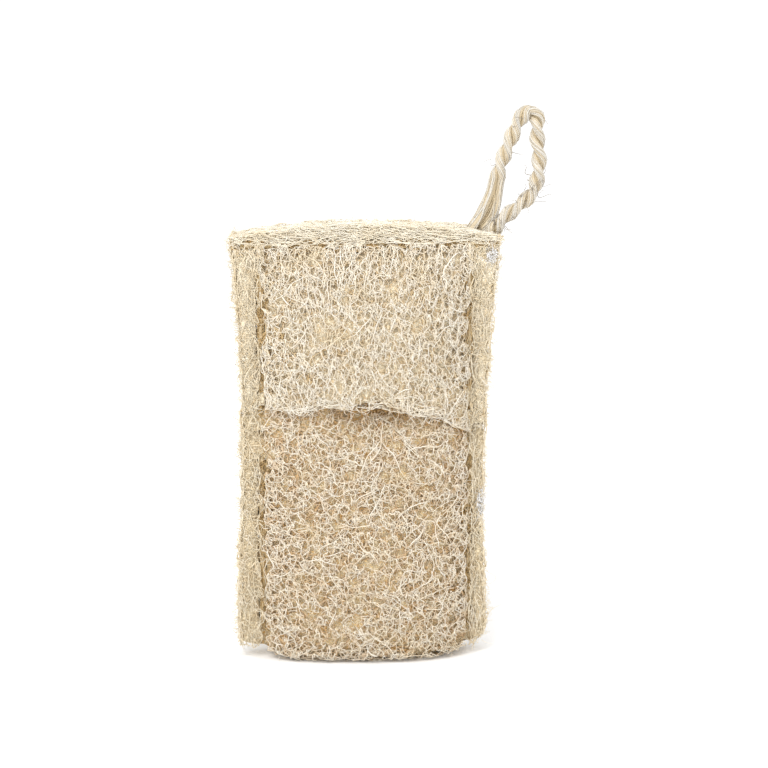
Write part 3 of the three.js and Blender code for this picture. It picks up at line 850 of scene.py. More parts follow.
class LoofahWeaver:
    """Grows the layers of one patch of loofah net into a bundle."""

    NET_POINTS = 3
    HUB_LINKS = 5
    KNOT_SHIFT = 0.55
    SIZES = (0.7, 1.3)
    NET_TONES = (1.3, 2.8)
    LOOSE_TONES = (1, 4)
    SUNK_SPREAD = 0.15
    PORE_AREA = 17e-6
    PORE_RADIUS = 0.95 * MM
    PORE_RANGE = (0.45 * MM, 2.2 * MM)
    PORE_SPREAD = 0.5
    LEAST_SHARE = 0.001
    STRAND_POINTS = 4
    STRAND_LENGTHS = (0.4, 1.3)
    STRAND_TIP = 0.35
    # Most painted shade under the flap's edge that a loose strand takes
    STRAND_SLIT_SHADE = 0.75
    HAIR_POINTS = 5
    HAIR_CURL = 1.3
    HAIR_ROOT = 0.4 * MM
    HAIR_ARCH = (0.35, 0.9)
    HAIR_TAPER = 0.7
    LENGTH_SPREAD = 0.45
    HEIGHT_SPREAD = 0.4
    LONGEST_HAIR = 1.9

    def __init__(self, patch: Patch, bundle: FibreBundle) -> None:
        """Sets up the weaver for a patch, with the bundle that takes its fibres."""
        self.patch = patch
        self.bundle = bundle
        self.relief = patch.relief()
        self.rng = np.random.default_rng(patch.seed)
        cells = self.keep(*np.meshgrid(self.relief.u, self.relief.v))
        self.area = float(cells.sum()) * Relief.STEP**2
        self.pores = self._scatter(self.area / self.PORE_AREA)
        radii = self.PORE_RADIUS * self.rng.lognormal(0, self.PORE_SPREAD, len(self.pores))
        self.pore_radii = np.clip(radii, *self.PORE_RANGE)

    def weave(self) -> None:
        """Grows the patch's layers in their order."""
        ways = {NetLayer: self._net, StrandLayer: self._strands, FuzzLayer: self._fuzz}
        for layer in self.patch.layers:
            ways[type(layer)](layer)

    def keep(self, u: Array, v: Array) -> Array:
        """Tells which points of the side lie on the skin and in the patch."""
        return self.relief.inside(u, v) & self.patch.keep(u, v)

    def _scatter(self, count: float) -> Array:
        """Draws about that many random points on the patch."""
        relief = self.relief
        whole = np.array([relief.u[-1] - relief.u[0], relief.v[-1] - relief.v[0]])
        share = max(self.area / (whole[0] * whole[1]), self.LEAST_SHARE)
        corner = np.array([relief.u[0], relief.v[0]])
        drawn = corner + self.rng.uniform(0, 1, (int(count / share), 2)) * whole
        return drawn[self.keep(drawn[:, 0], drawn[:, 1])]

    def _place(self, flat: Array, lift: Array) -> Array:
        """Puts points on the patch at that height over its net."""
        u, v = flat[..., 0], flat[..., 1]
        points = self.relief.place(u, v, lift + self.patch.rise(u, v))
        points[..., 0] -= hem_lean(points[..., 0], points[..., 2])
        points[..., 2] = np.maximum(points[..., 2], FLOOR_CLEARANCE)
        return points

    def _in_pore(self, flat: Array, opened: float) -> Array:
        """Tells which points lie in an open pore."""
        away = np.hypot(*(flat[:, None, axis] - self.pores[None, :, axis] for axis in (0, 1)))
        return (away < self.pore_radii * opened).any(axis=1)

    def _net(self, layer: NetLayer) -> None:
        """Adds one layer of net."""
        rng = self.rng
        knots = self._knots(layer)
        pairs = self._pairs(knots, layer)
        start, end = knots[pairs[:, 0]], knots[pairs[:, 1]]
        count, t = len(pairs), np.linspace(0, 1, self.NET_POINTS)
        run = end - start
        across = np.stack([-run[:, 1], run[:, 0]], axis=1)
        bow = rng.normal(0, layer.bow, (count, 1)) * np.sin(math.pi * t)
        sway = rng.normal(0, layer.bow / 2, (count, 1)) * np.sin(2 * math.pi * t)
        flat = start[:, None] + run[:, None] * t[:, None] + across[:, None] * (bow + sway)[..., None]
        lifts = rng.uniform(layer.low, layer.high, len(knots))
        lift = lifts[pairs[:, :1]] * (1 - t) + lifts[pairs[:, 1:]] * t
        lift = lift + rng.normal(0, (layer.high - layer.low) / 4, (count, 1)) * np.sin(math.pi * t)
        middle = flat[:, self.NET_POINTS // 2]
        held = self.keep(middle[:, 0], middle[:, 1])
        if layer.opened > 0:
            held &= ~self._in_pore(middle, layer.opened)
        swell = np.abs(2 * t - 1) ** 2
        size = rng.uniform(*self.SIZES, (count, 1))
        radii = (layer.thin + (layer.thick - layer.thin) * swell) * size
        tones = rng.beta(*self.NET_TONES, count)
        sunk = layer.sunk + rng.uniform(-self.SUNK_SPREAD, self.SUNK_SPREAD, (count, 1))
        # Painted shade under the flap's edge is added to each fibre's depth, which the material browns
        sunk = np.clip(sunk + self.patch.painted_slit_shade(flat[..., 0], flat[..., 1]), 0, 1)
        self.bundle.add(self._place(flat, lift)[held], radii[held], tones[held], sunk[held])

    def _knots(self, layer: NetLayer) -> Array:
        """Scatters the layer's knots evenly but at random over the patch."""
        relief, gap = self.relief, layer.spacing
        u = np.arange(relief.u[0], relief.u[-1], gap)
        v = np.arange(relief.v[0], relief.v[-1], gap * layer.along)
        grid = np.stack(np.meshgrid(u, v), axis=-1).reshape(-1, 2)
        shift = self.rng.uniform(-self.KNOT_SHIFT, self.KNOT_SHIFT, grid.shape)
        knots = grid + shift * gap * np.array([1, layer.along])
        return knots[self.keep(knots[:, 0], knots[:, 1])]

    def _pairs(self, knots: Array, layer: NetLayer) -> Array:
        """Pairs each knot with its nearest neighbours, each pair once."""
        tree = KDTree(len(knots))
        for index, (u, v) in enumerate(knots):
            tree.insert((u, v / layer.along, 0), index)
        tree.balance()
        hubs = self.rng.random(len(knots)) < layer.hub_share
        links = np.where(hubs, self.HUB_LINKS, 0) + layer.links
        pairs = set()
        for index, (u, v) in enumerate(knots):
            for _, other, _ in tree.find_n((u, v / layer.along, 0), int(links[index]) + 1):
                if other != index:
                    pairs.add((min(index, other), max(index, other)))
        return np.array(sorted(pairs))

    def _strands(self, layer: StrandLayer) -> None:
        """Adds long loose fibres."""
        rng = self.rng
        for at in self._scatter(self.area * layer.density):
            count = int(layer.length * rng.uniform(*self.STRAND_LENGTHS) / layer.step)
            count = max(self.STRAND_POINTS, count)
            heading = layer.heading + rng.uniform(-layer.spread, layer.spread) / 2
            turns = np.cumsum(rng.normal(0, layer.wander / 2, count)) + heading
            steps = np.stack([np.cos(turns), np.sin(turns)], axis=1) * layer.step
            flat = at + np.cumsum(steps, axis=0)
            good = self.keep(flat[:, 0], flat[:, 1])
            length = len(flat) if good.all() else int(np.argmin(good))
            if length < self.STRAND_POINTS:
                continue
            t = np.linspace(0, 1, length)
            waves = np.sin(rng.uniform(1, 3) * math.pi * t + rng.uniform(0, 6))
            lift = rng.uniform(layer.low, layer.high) + (layer.high - layer.low) / 2 * waves
            taper = self.STRAND_TIP + (1 - self.STRAND_TIP) * np.sin(math.pi * t) ** 0.4
            radii = layer.radius * rng.uniform(*self.SIZES) * taper
            flat = flat[:length]
            # Painted shade under the flap's edge, held lower on loose strands
            sunk = np.clip(self.patch.painted_slit_shade(flat[:, 0], flat[:, 1]), 0, self.STRAND_SLIT_SHADE)
            tone = np.array([rng.beta(*self.LOOSE_TONES)])
            self.bundle.add(self._place(flat, lift)[None], radii[None], tone, sunk[None])

    def _fuzz(self, layer: FuzzLayer) -> None:
        """Adds loose ends that curl out of the net."""
        rng = self.rng
        roots = self._scatter(self.area * layer.density)
        count, t = len(roots), np.linspace(0, 1, self.HAIR_POINTS)
        one_each = (count, 1)
        turns = rng.uniform(0, 2 * math.pi, one_each) + rng.normal(0, self.HAIR_CURL, one_each) * t
        longer = np.minimum(rng.lognormal(0, self.LENGTH_SPREAD, one_each), self.LONGEST_HAIR)
        step = layer.length * longer / (self.HAIR_POINTS - 1)
        steps = np.stack([np.cos(turns), np.sin(turns)], axis=2) * step[..., None]
        flat = roots[:, None] + np.cumsum(steps, axis=1)
        higher = np.minimum(rng.lognormal(0, self.HEIGHT_SPREAD, one_each), self.LONGEST_HAIR)
        arch = np.sin(rng.uniform(*self.HAIR_ARCH, one_each) * math.pi * t)
        lift = -self.HAIR_ROOT + (layer.height * higher + self.HAIR_ROOT) * arch
        radii = layer.radius * rng.uniform(*self.SIZES, one_each) * (1 - self.HAIR_TAPER * t)
        tones = rng.beta(*self.LOOSE_TONES, count)
        self.bundle.add(self._place(flat, lift), radii, tones, np.zeros(lift.shape))


@dataclass(frozen=True)
class LoofahWeb:
    """A piece of loofah net, woven from one or more patches."""

    name: str
    finish: FibreFinish
    patches: list[Patch]
    slot: str = "loofah"
    replaced: str = "folded_sheet"

    def build(self) -> None:
        """Weaves the net, dresses it and ties it to the frame."""
        bundle = FibreBundle()
        for patch in self.patches:
            LoofahWeaver(patch, bundle).weave()
        finish_piece(bundle.piece(self.name), self.finish, self.replaced)


@dataclass(frozen=True)
class Pith:
    """The closed body of a sheet under its fibres, which stands for the sheet's solid."""

    node: str
    name: str
    finish: PithFinish
    slot: str
    meets_flap: bool = False

    def build(self) -> None:
        """Copies the solid, splits its faces finer and draws it in under the fibres."""
        front = Relief((self.node,), Facing.FRONT)
        if self.meets_flap:
            front.meet_flap()
        shape = bmesh.new()
        shape.from_mesh(bpy.data.objects[self.node].data)
        bmesh.ops.remove_doubles(shape, verts=shape.verts, dist=PITH_MERGE)
        bmesh.ops.subdivide_edges(shape, edges=shape.edges, cuts=1, use_grid_fill=True)
        bmesh.ops.triangulate(shape, faces=shape.faces)
        axes = {f"use_axis_{axis}": True for axis in "xyz"}
        bmesh.ops.smooth_vert(shape, verts=shape.verts, factor=0.5, **axes)
        shape.normal_update()
        moves = [self._move(vertex) for vertex in shape.verts]
        for vertex, move in zip(shape.verts, moves):
            place = vertex.co + move
            faces_front = vertex.normal.y < PITH_FRONT_NORMAL
            if faces_front and BELLY_TOP_Z < place.z < FLAP_EDGE_Z + UNDER_FLAP_REACH:
                place.y = min(place.y, 2 * PITH_INSET - float(front.outward(place.x, place.z)))
            place.x -= float(hem_lean(place.x, place.z))
            vertex.co = place
        for face in shape.faces:
            face.smooth = True
        finish_piece(add_shape(self.name, shape), self.finish, self.node)

    @staticmethod
    def _move(vertex: bmesh.types.BMVert) -> Vector:
        """How far a point of the skin is drawn in, with small lumps."""
        x, _, z = vertex.co
        share = 1.0
        if x > ROPE_CORNER_X and z > ROPE_CORNER_Z:
            share = PITH_CORNER_SHARE
        elif abs(x) > SIDE_SEAM_X + HEM_FROM or z > TOP_SEAM_Z + HEM_FROM:
            share = PITH_HEM_SHARE
        lump = noise.noise(vertex.co * PITH_LUMPS_PER_M) * PITH_LUMP
        return vertex.normal * ((lump - PITH_INSET) * share)


@dataclass(frozen=True)
class SeamCore:
    """The pressed inside of the loofah that closes round the stitches of one seam."""

    name: str
    low: tuple[float, float, float]
    high: tuple[float, float, float]

    CUTS = 40
    LUMPS_PER_M = 400
    LUMP = 0.15 * MM

    def build(self) -> None:
        """Makes the core as a slightly uneven bar and ties it to the frame."""
        shape = bmesh.new()
        bmesh.ops.create_cube(shape, size=1.0)
        size = Vector(self.high) - Vector(self.low)
        longest = max(range(3), key=lambda axis: size[axis])
        ends = [(edge, edge.verts[0].co - edge.verts[1].co) for edge in shape.edges]
        across = [edge for edge, run in ends if abs(run[longest]) > 0.5]
        bmesh.ops.subdivide_edges(shape, edges=across, cuts=self.CUTS, use_grid_fill=True)
        for vertex in shape.verts:
            place = Vector(self.low) + Vector([(vertex.co[k] + 0.5) * size[k] for k in range(3)])
            vertex.co = place + noise.noise_vector(place * self.LUMPS_PER_M) * self.LUMP
        bmesh.ops.triangulate(shape, faces=shape.faces)
        finish_piece(add_shape(self.name, shape), SEAM_PITH, "folded_sheet")


@dataclass(frozen=True)
class HangLoop:
    """The two-strand rope loop, with the fibres that show on its strands and the frayed ends."""

    route_mm: tuple[tuple[float, float, float], ...] = (
        (33.6, 0.2, 134), (34.9, 0.2, 140), (37.7, 0.6, 144.5), (40.6, 0.9, 149), (42.6, 0.9, 154.5),
        (43.9, 0.8, 161), (45.9, 0.6, 168.2), (49.6, 0.3, 177.3), (51.4, 0.1, 181), (54.1, -0.2, 183.7),
        (56.7, -0.5, 180.9), (56.7, -0.9, 176), (57.4, -1.2, 169.5), (57.2, -1.5, 162.8),
        (55.4, -1.7, 156.8), (50.5, -1.7, 152), (45.8, -1.4, 148), (43, -0.9, 144.6),
        (40.4, -0.2, 140), (39.1, -0.2, 134),
    )
    bend_mm: tuple[float, float, float] = (54.6, -1.7, 156)
    seed: int = 61
    strand_radius: float = 1.34 * MM
    strand_offset: float = 1.12 * MM
    lay_length: float = 14 * MM
    loose_from: float = 17 * MM
    loose_to: float = 28 * MM
    twist_from: float = 30 * MM
    loose_spread: float = 0.6 * MM
    diameter: float = 5 * MM
    fibres: int = 24
    fibre_radius: float = 0.19 * MM
    fray_radius: float = 0.17 * MM
    fray_root: float = 1.6 * MM
    fray_points: int = 8
    steps: int = 130
    span_steps: int = 24
    path_points: int = 40
    core_sides: int = 10

    BODY_SHARE = 0.6
    BODY_TONE = 0.35
    BODY_SUNK = 0.5
    JITTER = 0.1
    SWAY = 0.2
    SWAY_LENGTHS = (3, 7)
    LOOSE_SWAY = 1.5
    PROUD = (-1, 1.4)
    SUNK_MEAN = 0.15
    SUNK_SWING = 1.3
    LOOSE_SUNK = 0.4
    FIBRE_SIZES = (0.7, 1.35)
    FIBRE_TONES = (1.2, 2.6)
    TONE_SHARE = 0.9
    FRAY_LENGTHS = (1.5, 5.5)
    FRAY_CURL = 0.35
    FRAY_CURLS = (1, 2.6)
    FRAY_SIZES = (0.6, 1.2)
    FRAY_TONES = (1, 4)
    FRAYS_ALONG = 26
    FRAYS_AT_BEND = 16
    FRAYS_AT_FOOT = 14
    BEND_SPREAD = 2.5
    FOOT_SPREAD = 3
    FIRST_FRAY = 16
    LAST_FRAY = 7
    FOOT = 13

    def build(self) -> None:
        line = self._centre_line(self.steps)
        core = FibreBundle(self.core_sides)
        fibres = FibreBundle()
        rng = np.random.default_rng(self.seed)
        for turned in (0, math.pi):
            self._lay_strand(core, fibres, line, turned, rng)
        loop, dressing = core.piece("hang_loop_strands"), fibres.piece("hang_loop_fibres")
        frays = self._frays(line, rng)
        for piece, finish in ((loop, ROPE_FIBRE), (dressing, ROPE_FIBRE), (frays, ROPE_FRAY)):
            finish_piece(piece, finish, "hang_loop")
        path = self._centre_line(self.path_points)

    def _centre_line(self, count: int) -> Array:
        """Points evenly spaced along the smooth route."""
        knots = np.array(self.route_mm) * MM
        ends = np.vstack([2 * knots[:1] - knots[1:2], knots, 2 * knots[-1:] - knots[-2:-1]])
        shares = np.linspace(0, 1, self.span_steps)[:-1]
        curve = [self._span(ends[k : k + 4], shares) for k in range(len(knots) - 1)]
        points = np.vstack(curve + [knots[-1:]])
        run = np.concatenate([[0], np.cumsum(np.linalg.norm(np.diff(points, axis=0), axis=1))])
        wanted = np.linspace(0, run[-1], count)
        return np.stack([np.interp(wanted, run, points[:, axis]) for axis in range(3)], axis=1)

    @staticmethod
    def _span(p: Array, shares: Array) -> Array:
        """One span of a centripetal Catmull-Rom curve through the middle two of four points."""
        t = np.concatenate([[0], np.cumsum(np.sqrt(np.linalg.norm(np.diff(p, axis=0), axis=1)))])
        at = (t[1] + (t[2] - t[1]) * shares)[:, None]

        def blend(first: Array, second: Array, start: float, end: float) -> Array:
            """Straight blend of two points over a stretch of the curve's own measure."""
            return ((end - at) * first + (at - start) * second) / (end - start)

        low = blend(p[0], p[1], t[0], t[1])
        middle = blend(p[1], p[2], t[1], t[2])
        high = blend(p[2], p[3], t[2], t[3])
        return blend(blend(low, middle, t[0], t[2]), blend(middle, high, t[1], t[3]), t[1], t[2])

    @staticmethod
    def _frames(line: Array) -> tuple[Array, Array]:
        """Two directions square to the line at each point, carried along it without twist."""
        tangents = np.gradient(line, axis=0)
        tangents /= np.linalg.norm(tangents, axis=1)[:, None]
        side = np.array([1.0, 0, 0])
        sides = []
        for tangent in tangents:
            side = side - tangent * side.dot(tangent)
            side /= np.linalg.norm(side)
            sides.append(side)
        return np.array(sides), np.cross(tangents, np.array(sides))

    def _lay_strand(
        self, core: FibreBundle, fibres: FibreBundle, line: Array, turned: float,
        rng: np.random.Generator,
    ) -> None:
        """Lays one strand: its body and the fibres on its surface.

        Args:
            core: The bundle that takes the strand's body.
            fibres: The bundle that takes its fibres.
            line: The rope's middle line.
            turned: How far round the rope the strand starts.
            rng: Random draws.
        """
        sides, ups = self._frames(line)

        def around(angle: Array, first: Array, second: Array) -> Array:
            """The direction at that angle from first towards second, at each point."""
            return np.cos(angle)[:, None] * first + np.sin(angle)[:, None] * second

        run = np.linspace(0, 1, len(line)) * np.linalg.norm(np.diff(line, axis=0), axis=1).sum()
        loose = 1 - eased((run - self.loose_from) / (self.loose_to - self.loose_from))
        angle = turned - 2 * math.pi * np.maximum(run - self.twist_from, 0) / self.lay_length
        out = around(angle, sides, ups)
        aside = around(angle, ups, -sides)
        middle = line + out * (self.strand_offset + self.loose_spread * loose)[:, None]
        size = self.strand_radius + 0.5 * self.loose_spread * loose
        body = size - self.BODY_SHARE * self.fibre_radius
        # Painted shade: the strand's body, which shows between its fibres, is painted half sunk
        sunk = np.full((1, len(line)), self.BODY_SUNK)
        core.add(middle[None], body[None], np.array([self.BODY_TONE]), sunk)
        for k in range(self.fibres):
            at = 2 * math.pi * k / self.fibres + rng.uniform(-self.JITTER, self.JITTER)
            wave = np.sin(run / (rng.uniform(*self.SWAY_LENGTHS) * MM) + rng.uniform(0, 6))
            at = at + self.SWAY * wave * (1 + self.LOOSE_SWAY * loose)
            reach = size + 0.5 * self.fibre_radius * rng.uniform(*self.PROUD) * (1 + loose)
            # Painted shade: fibres turned in towards the rope's middle are coloured golden
            depth = self.SUNK_MEAN - self.SUNK_SWING * np.cos(at) - self.LOOSE_SUNK * loose
            radius = np.full(len(line), self.fibre_radius * rng.uniform(*self.FIBRE_SIZES))
            tone = np.array([rng.beta(*self.FIBRE_TONES) * self.TONE_SHARE])
            route = middle + around(at, out, aside) * reach[:, None]
            fibres.add(route[None], radius[None], tone, np.clip(depth, 0, 1)[None])

    def _frays(self, line: Array, rng: np.random.Generator) -> bpy.types.Object:
        """Loose curly ends along the rope, most of them at the lower bend and at its foot."""
        bundle = FibreBundle()
        last = len(line) - 1
        bend = int(np.argmin(np.linalg.norm(line - np.array(self.bend_mm) * MM, axis=1)))
        picks = np.concatenate([
            rng.integers(self.FIRST_FRAY, last - self.LAST_FRAY, self.FRAYS_ALONG),
            np.clip(rng.normal(bend, self.BEND_SPREAD, self.FRAYS_AT_BEND), 0, last),
            np.clip(rng.normal(last - self.FOOT, self.FOOT_SPREAD, self.FRAYS_AT_FOOT), 0, last),
        ]).astype(int)
        t = np.linspace(0, 1, self.fray_points)[:, None]
        for pick in picks:
            way, curl = rng.normal(0, 1, 3), rng.normal(0, 1, 3)
            way, curl = way / np.linalg.norm(way), curl / np.linalg.norm(curl)
            reach = rng.uniform(*self.FRAY_LENGTHS) * MM
            wave = self.FRAY_CURL * np.sin(rng.uniform(*self.FRAY_CURLS) * t * 3)
            hair = line[pick] + way * (self.fray_root + reach * t) + curl * reach * wave
            radius = self.fray_radius * rng.uniform(*self.FRAY_SIZES) * (1 - 0.5 * t[:, 0])
            tone = np.array([rng.beta(*self.FRAY_TONES)])
            bundle.add(hair[None], radius[None], tone, np.zeros((1, len(t))))
        return bundle.piece("hang_loop_frays")


class Studio:
    """The camera, the floor and the soft light."""

    TARGET = Vector((6.5, 0, 92.7)) * MM
    DISTANCE = 850 * MM
    AZIMUTH = math.radians(-4)
    ELEVATION = math.radians(11.5)
    WIDTH_IN_VIEW = 256 * MM
    SENSOR = 36.0
    FLOOR_SIZE = 6.0
    FLOOR_LOOK = {"Base Color": (0.92, 0.92, 0.92), "Roughness": 0.9, "Specular IOR Level": 0.0}
    ROOM_LIGHT = 1.2
    LAMP_SIZE = 0.6
    LAMP_POWER = 9
    LAMP_PLACE = (-0.35, -0.75, 1.05)

    def build(self) -> None:
        """Places the camera, the floor and the lights."""
        self._camera()
        self._floor()
        self._light()

    def _camera(self) -> None:
        """Places the camera at the photo's angle."""
        camera = add_object("camera", bpy.data.cameras.new("camera"))
        level = math.cos(self.ELEVATION)
        away = Vector((
            math.sin(self.AZIMUTH) * level, -math.cos(self.AZIMUTH) * level, math.sin(self.ELEVATION)
        ))
        camera.location = self.TARGET + away * self.DISTANCE
        camera.rotation_euler = (-away).to_track_quat("-Z", "Y").to_euler()
        camera.data.sensor_width = self.SENSOR
        camera.data.lens = self.SENSOR * self.DISTANCE / self.WIDTH_IN_VIEW
        bpy.context.scene.camera = camera

    def _floor(self) -> None:
        """Lays a plain pale floor."""
        shape = bmesh.new()
        bmesh.ops.create_grid(shape, x_segments=1, y_segments=1, size=self.FLOOR_SIZE)
        floor = add_shape("floor", shape)
        nodes = Nodes("floor")
        for key, value in self.FLOOR_LOOK.items():
            nodes.set(nodes.surface, key, value)
        floor.data.materials.append(nodes.material)

    def _light(self) -> None:
        """Fills the room with even light and adds a soft lamp from above left."""
        world = bpy.data.worlds.new("studio")
        world.use_nodes = True
        world.node_tree.nodes["Background"].inputs["Color"].default_value = (1, 1, 1, 1)
        world.node_tree.nodes["Background"].inputs["Strength"].default_value = self.ROOM_LIGHT
        bpy.context.scene.world = world
        bpy.context.scene.view_settings.view_transform = "Standard"
        lamp = bpy.data.lights.new("key", "AREA")
        lamp.size = self.LAMP_SIZE
        lamp.energy = self.LAMP_POWER
        key = add_object("key", lamp)
        key.location = self.LAMP_PLACE
        key.rotation_euler = (self.TARGET - key.location).to_track_quat("-Z", "Y").to_euler()


def in_mm(kind: type[Layer], *lengths: float, **rest) -> Layer:
    """Makes a layer whose leading lengths are given in millimetres."""
    return kind(*(length * MM for length in lengths), **rest)


UPRIGHT = math.pi / 2
DOWN_RIGHT = -math.pi / 4

# Nets: spacing of the knots, lowest and highest over the skin, and radius at the knots and between them
# sunk: how far a layer's fibres are browned for lying deep, partly painted shade
BODY_DEEP = in_mm(NetLayer, 2.4, -1.5, -0.7, 0.28, 0.18, sunk=0.68, opened=0.5)
POCKET_MIDDLE = in_mm(
    NetLayer, 1.8, -0.8, -0.1, 0.22, 0.12, sunk=0.35, hub_share=0.3, bow=0.14, along=1.1, opened=0.8
)
POCKET_FINE = in_mm(
    NetLayer, 1.37, -0.3, 0.35, 0.15, 0.09, hub_share=0.35, bow=0.15, along=1.15, opened=1.0
)
FLAP_MIDDLE = in_mm(
    NetLayer, 1.6, -0.8, -0.1, 0.22, 0.12, sunk=0.3, hub_share=0.3, bow=0.14, along=1.5, opened=0.7
)
FLAP_FINE = in_mm(
    NetLayer, 1.1, -0.3, 0.3, 0.14, 0.08, hub_share=0.35, bow=0.14, along=1.6, opened=0.85
)
BACK_MIDDLE = in_mm(NetLayer, 2.3, -0.9, -0.1, 0.27, 0.16, sunk=0.35, hub_share=0.3, bow=0.14, opened=0.8)
BACK_FINE = in_mm(NetLayer, 1.85, -0.3, 0.3, 0.19, 0.11, hub_share=0.35, bow=0.15, opened=1.0)
HEM_DEEP = in_mm(NetLayer, 1.6, -0.55, -0.15, 0.2, 0.13, sunk=0.4, along=1.9)
HEM_FINE = in_mm(NetLayer, 1.3, -0.2, 0.2, 0.16, 0.09, sunk=0.1, links=4, bow=0.14, along=1.9, opened=0.6)
TOP_DEEP = in_mm(NetLayer, 3.0, -0.5, -0.15, 0.22, 0.14, sunk=0.3, along=0.4)
TOP_FINE = in_mm(NetLayer, 2.4, -0.2, 0.15, 0.16, 0.1, links=4, along=0.36, bow=0.12)
SEAM_SIDE = in_mm(NetLayer, 0.9, -2.3, -1.3, 0.2, 0.13, sunk=0.45, links=4, along=2.2)
SEAM_TOP = in_mm(NetLayer, 2.4, -1.6, -0.7, 0.2, 0.13, sunk=0.35, links=4, along=0.36)
COTTON_NET = in_mm(NetLayer, 0.7, 0.1, 0.8, 0.13, 0.09, bow=0.3)

# Strands: length, lowest and highest over the skin, and radius
SHORT_STEP = 1.3 * MM
WANDERERS = in_mm(StrandLayer, 13, 0.1, 0.5, 0.16, density=14000, wander=0.55, step=SHORT_STEP)
HEM_RUNNERS = in_mm(
    StrandLayer, 12, 0.0, 0.4, 0.12, density=60000, heading=UPRIGHT, spread=0.9, wander=0.35
)
TOP_RUNNERS = in_mm(StrandLayer, 16, 0.0, 0.3, 0.13, density=170000, spread=0.45, wander=0.2)
SIDE_SEAM_RUNNERS = in_mm(
    StrandLayer, 14, -1.9, -1.1, 0.14, density=160000, heading=UPRIGHT, spread=0.3, wander=0.1
)
TOP_SEAM_RUNNERS = in_mm(StrandLayer, 14, -1.2, -0.5, 0.14, density=160000, spread=0.3, wander=0.1)
LIP_RUNNERS = in_mm(
    StrandLayer, 11, -0.2, 0.5, 0.14, density=260000, spread=0.9, wander=0.3, step=SHORT_STEP
)
STREAK_RUNNERS = in_mm(
    StrandLayer, 20, 0.1, 0.6, 0.14, density=260000, heading=DOWN_RIGHT, spread=0.3, wander=0.16
)

# Loose ends: length, height and radius
COTTON_FUZZ = in_mm(FuzzLayer, 2.2, 1.2, 0.07, density=2500000)
BODY_FUZZ = in_mm(FuzzLayer, 2.2, 0.8, 0.09, density=70000)
LIP_FUZZ = in_mm(FuzzLayer, 2.6, 1.1, 0.1, density=500000)
HEM_FUZZ = in_mm(FuzzLayer, 2.4, 1.0, 0.09, density=200000)
EDGE_FUZZ = in_mm(FuzzLayer, 2.8, 1.6, 0.09, density=420000)
STRAY_HAIRS = in_mm(FuzzLayer, 5.5, 3.2, 0.08, density=14000)

# Where the nets of the body and the hems start, and how far out the skin of the other sides is taken from
BODY_LOW_Z = 0.8 * MM
HEM_LOW_Z = 2 * MM
EDGE_LOW_Z = 4 * MM
EDGE_LEAST_X = 35.2 * MM
FLAP_UNDERSIDE_LEAST_Z = -94 * MM
BASE_LEAST_Z = -2.5 * MM
TOP_LEAST_Z = 138 * MM
HEM_RAGGED = 0.25 * MM
EDGE_RAGGED = 0.45 * MM


def pocket_webs() -> list[LoofahWeb]:
    """The net of the pocket's front, with its streak, and the net of the flap."""
    below, above, lip = FlapSide.BELOW, FlapSide.ABOVE, FlapSide.ALONG
    front = [BODY_DEEP, POCKET_MIDDLE, POCKET_FINE, WANDERERS, BODY_FUZZ]
    flap = [BODY_DEEP, FLAP_MIDDLE, FLAP_FINE, WANDERERS, BODY_FUZZ]
    return [
        LoofahWeb("pocket_front_net", POCKET_FIBRE, [
            Patch(SHEET, Facing.FRONT, 11, front, Zone.BODY, below, low_v=BODY_LOW_Z, meets_flap=True),
        ]),
        LoofahWeb("pocket_streak", STREAK_FIBRE, [
            Patch(SHEET, Facing.FRONT, 13, [STREAK_RUNNERS], Zone.STREAK, below, meets_flap=True),
        ]),
        LoofahWeb("flap_net", FLAP_FIBRE, [
            Patch(FLAP, Facing.FRONT, 23, flap, Zone.BODY, above, margin=2),
            Patch(FLAP, Facing.FRONT, 25, [LIP_RUNNERS, LIP_FUZZ], Zone.BODY, lip, margin=3),
            Patch(FLAP, Facing.BASE, 27, [FLAP_FINE, BODY_FUZZ], least=FLAP_UNDERSIDE_LEAST_Z),
        ], "loofah_flap", "flap"),
    ]


def back_webs() -> list[LoofahWeb]:
    """The nets of the back and the base."""
    back = [BACK_MIDDLE, BACK_FINE]
    loose = [WANDERERS, BODY_FUZZ]
    return [
        LoofahWeb("back_net", POCKET_FIBRE, [
            Patch(SHEET, Facing.BACK, 37, back + loose, Zone.BODY, low_v=BODY_LOW_Z),
        ]),
        LoofahWeb("base_net", POCKET_FIBRE, [
            Patch(SHEET, Facing.BASE, 39, back, least=BASE_LEAST_Z),
        ]),
    ]


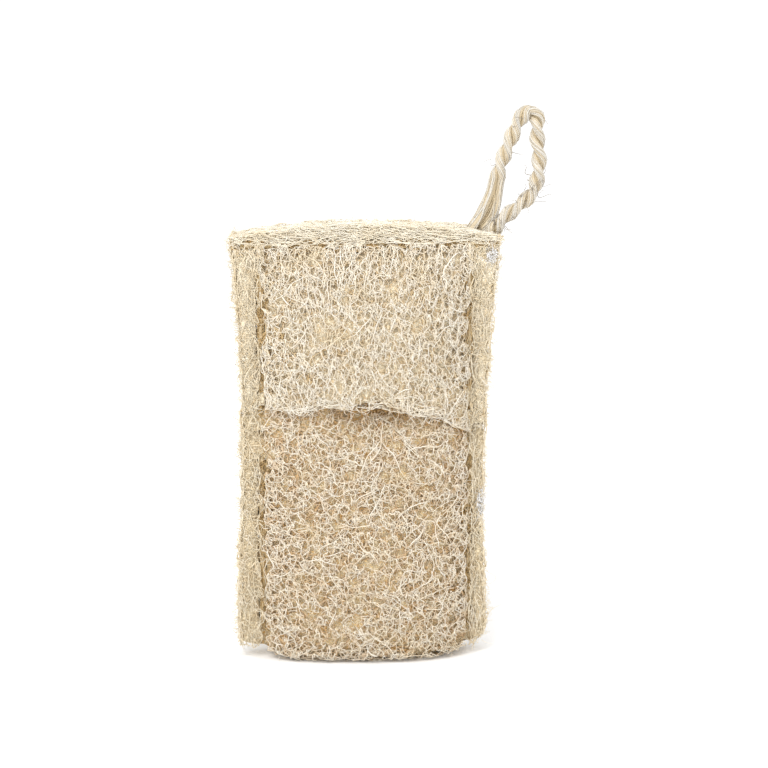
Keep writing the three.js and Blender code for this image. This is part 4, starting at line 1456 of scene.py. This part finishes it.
def hem_webs() -> list[LoofahWeb]:
    """The nets of the side hems, the seams, the cotton wisps and the top hem."""
    hem = [HEM_DEEP, HEM_FINE, HEM_RUNNERS]
    top = [TOP_DEEP, TOP_FINE, TOP_RUNNERS, HEM_FUZZ]
    faces = (Facing.FRONT, Facing.BACK)
    front_hem, back_hem = [
        Patch(BOTH, facing, seed, hem + [HEM_FUZZ], Zone.SIDE_HEMS, low_v=HEM_LOW_Z, margin=1,
              ragged=HEM_RAGGED)
        for facing, seed in zip(faces, (41, 42))
    ]
    edges = [
        Patch(BOTH, facing, seed, hem + [EDGE_FUZZ, STRAY_HAIRS], least=EDGE_LEAST_X, low_v=EDGE_LOW_Z,
              ragged=EDGE_RAGGED)
        for facing, seed in ((Facing.LEFT, 43), (Facing.RIGHT, 44))
    ]
    seams = [
        Patch(BOTH, facing, seed + step, layers, zone)
        for seed, layers, zone in (
            (61, [SEAM_SIDE, SIDE_SEAM_RUNNERS], Zone.SIDE_SEAMS),
            (63, [SEAM_TOP, TOP_SEAM_RUNNERS], Zone.TOP_SEAM),
        )
        for step, facing in enumerate(faces)
    ]
    cotton = Patch(BOTH, Facing.FRONT, 71, [COTTON_NET, COTTON_FUZZ], Zone.COTTON, margin=1)
    tops = [Patch(BOTH, facing, seed, top, Zone.TOP_HEM, margin=1) for facing, seed in zip(faces, (51, 52))]
    tops.append(Patch(BOTH, Facing.TOP, 53, top + [STRAY_HAIRS], least=TOP_LEAST_Z, ragged=HEM_RAGGED))
    return [
        LoofahWeb("front_hem_net", HEM_FIBRE, [front_hem, *edges]),
        LoofahWeb("back_hem_net", HEM_FIBRE, [back_hem]),
        LoofahWeb("seam_fibres", SEAM_FIBRE, seams),
        LoofahWeb("cotton_wisps", COTTON, [cotton], "thread"),
        LoofahWeb("top_hem_net", TOP_FIBRE, tops, "loofah_flap", "flap"),
    ]


def piths() -> list[Pith]:
    """The bodies of the two sheets."""
    return [
        Pith("folded_sheet", "pocket_pith", POCKET_PITH, "loofah", meets_flap=True),
        Pith("flap", "flap_pith", FLAP_PITH, "loofah_flap"),
    ]


def seam_cores() -> list[SeamCore]:
    """The cores of the two side seams and the top seam."""
    half, depth = CORE_HALF_WIDTH, CORE_DEPTH
    low_z, high_z = SIDE_CORE_Z
    low_x, high_x = TOP_CORE_X
    cores = [
        SeamCore(f"{name}_seam_core", (x - half, -depth, low_z), (x + half, depth, high_z))
        for name, x in (("left", -SIDE_SEAM_X), ("right", SIDE_SEAM_X))
    ]
    low, high = (low_x, -depth, TOP_SEAM_Z - half), (high_x, depth, TOP_SEAM_Z + half)
    return cores + [SeamCore("top_seam_core", low, high)]


def main() -> None:
    """Builds the studio and every piece of the pouch."""
    logging.basicConfig(level=logging.INFO, format="%(name)s: %(message)s")
    Studio().build()
    HangLoop().build()
    for piece in piths() + seam_cores() + pocket_webs() + back_webs() + hem_webs():
        piece.build()
    thread = THREAD.material()
    for node in ("left_seam_thread", "right_seam_thread", "top_seam_thread"):
        bpy.data.objects[node].data.materials.clear()
        bpy.data.objects[node].data.materials.append(thread)


if __name__ == "__main__":
    main()
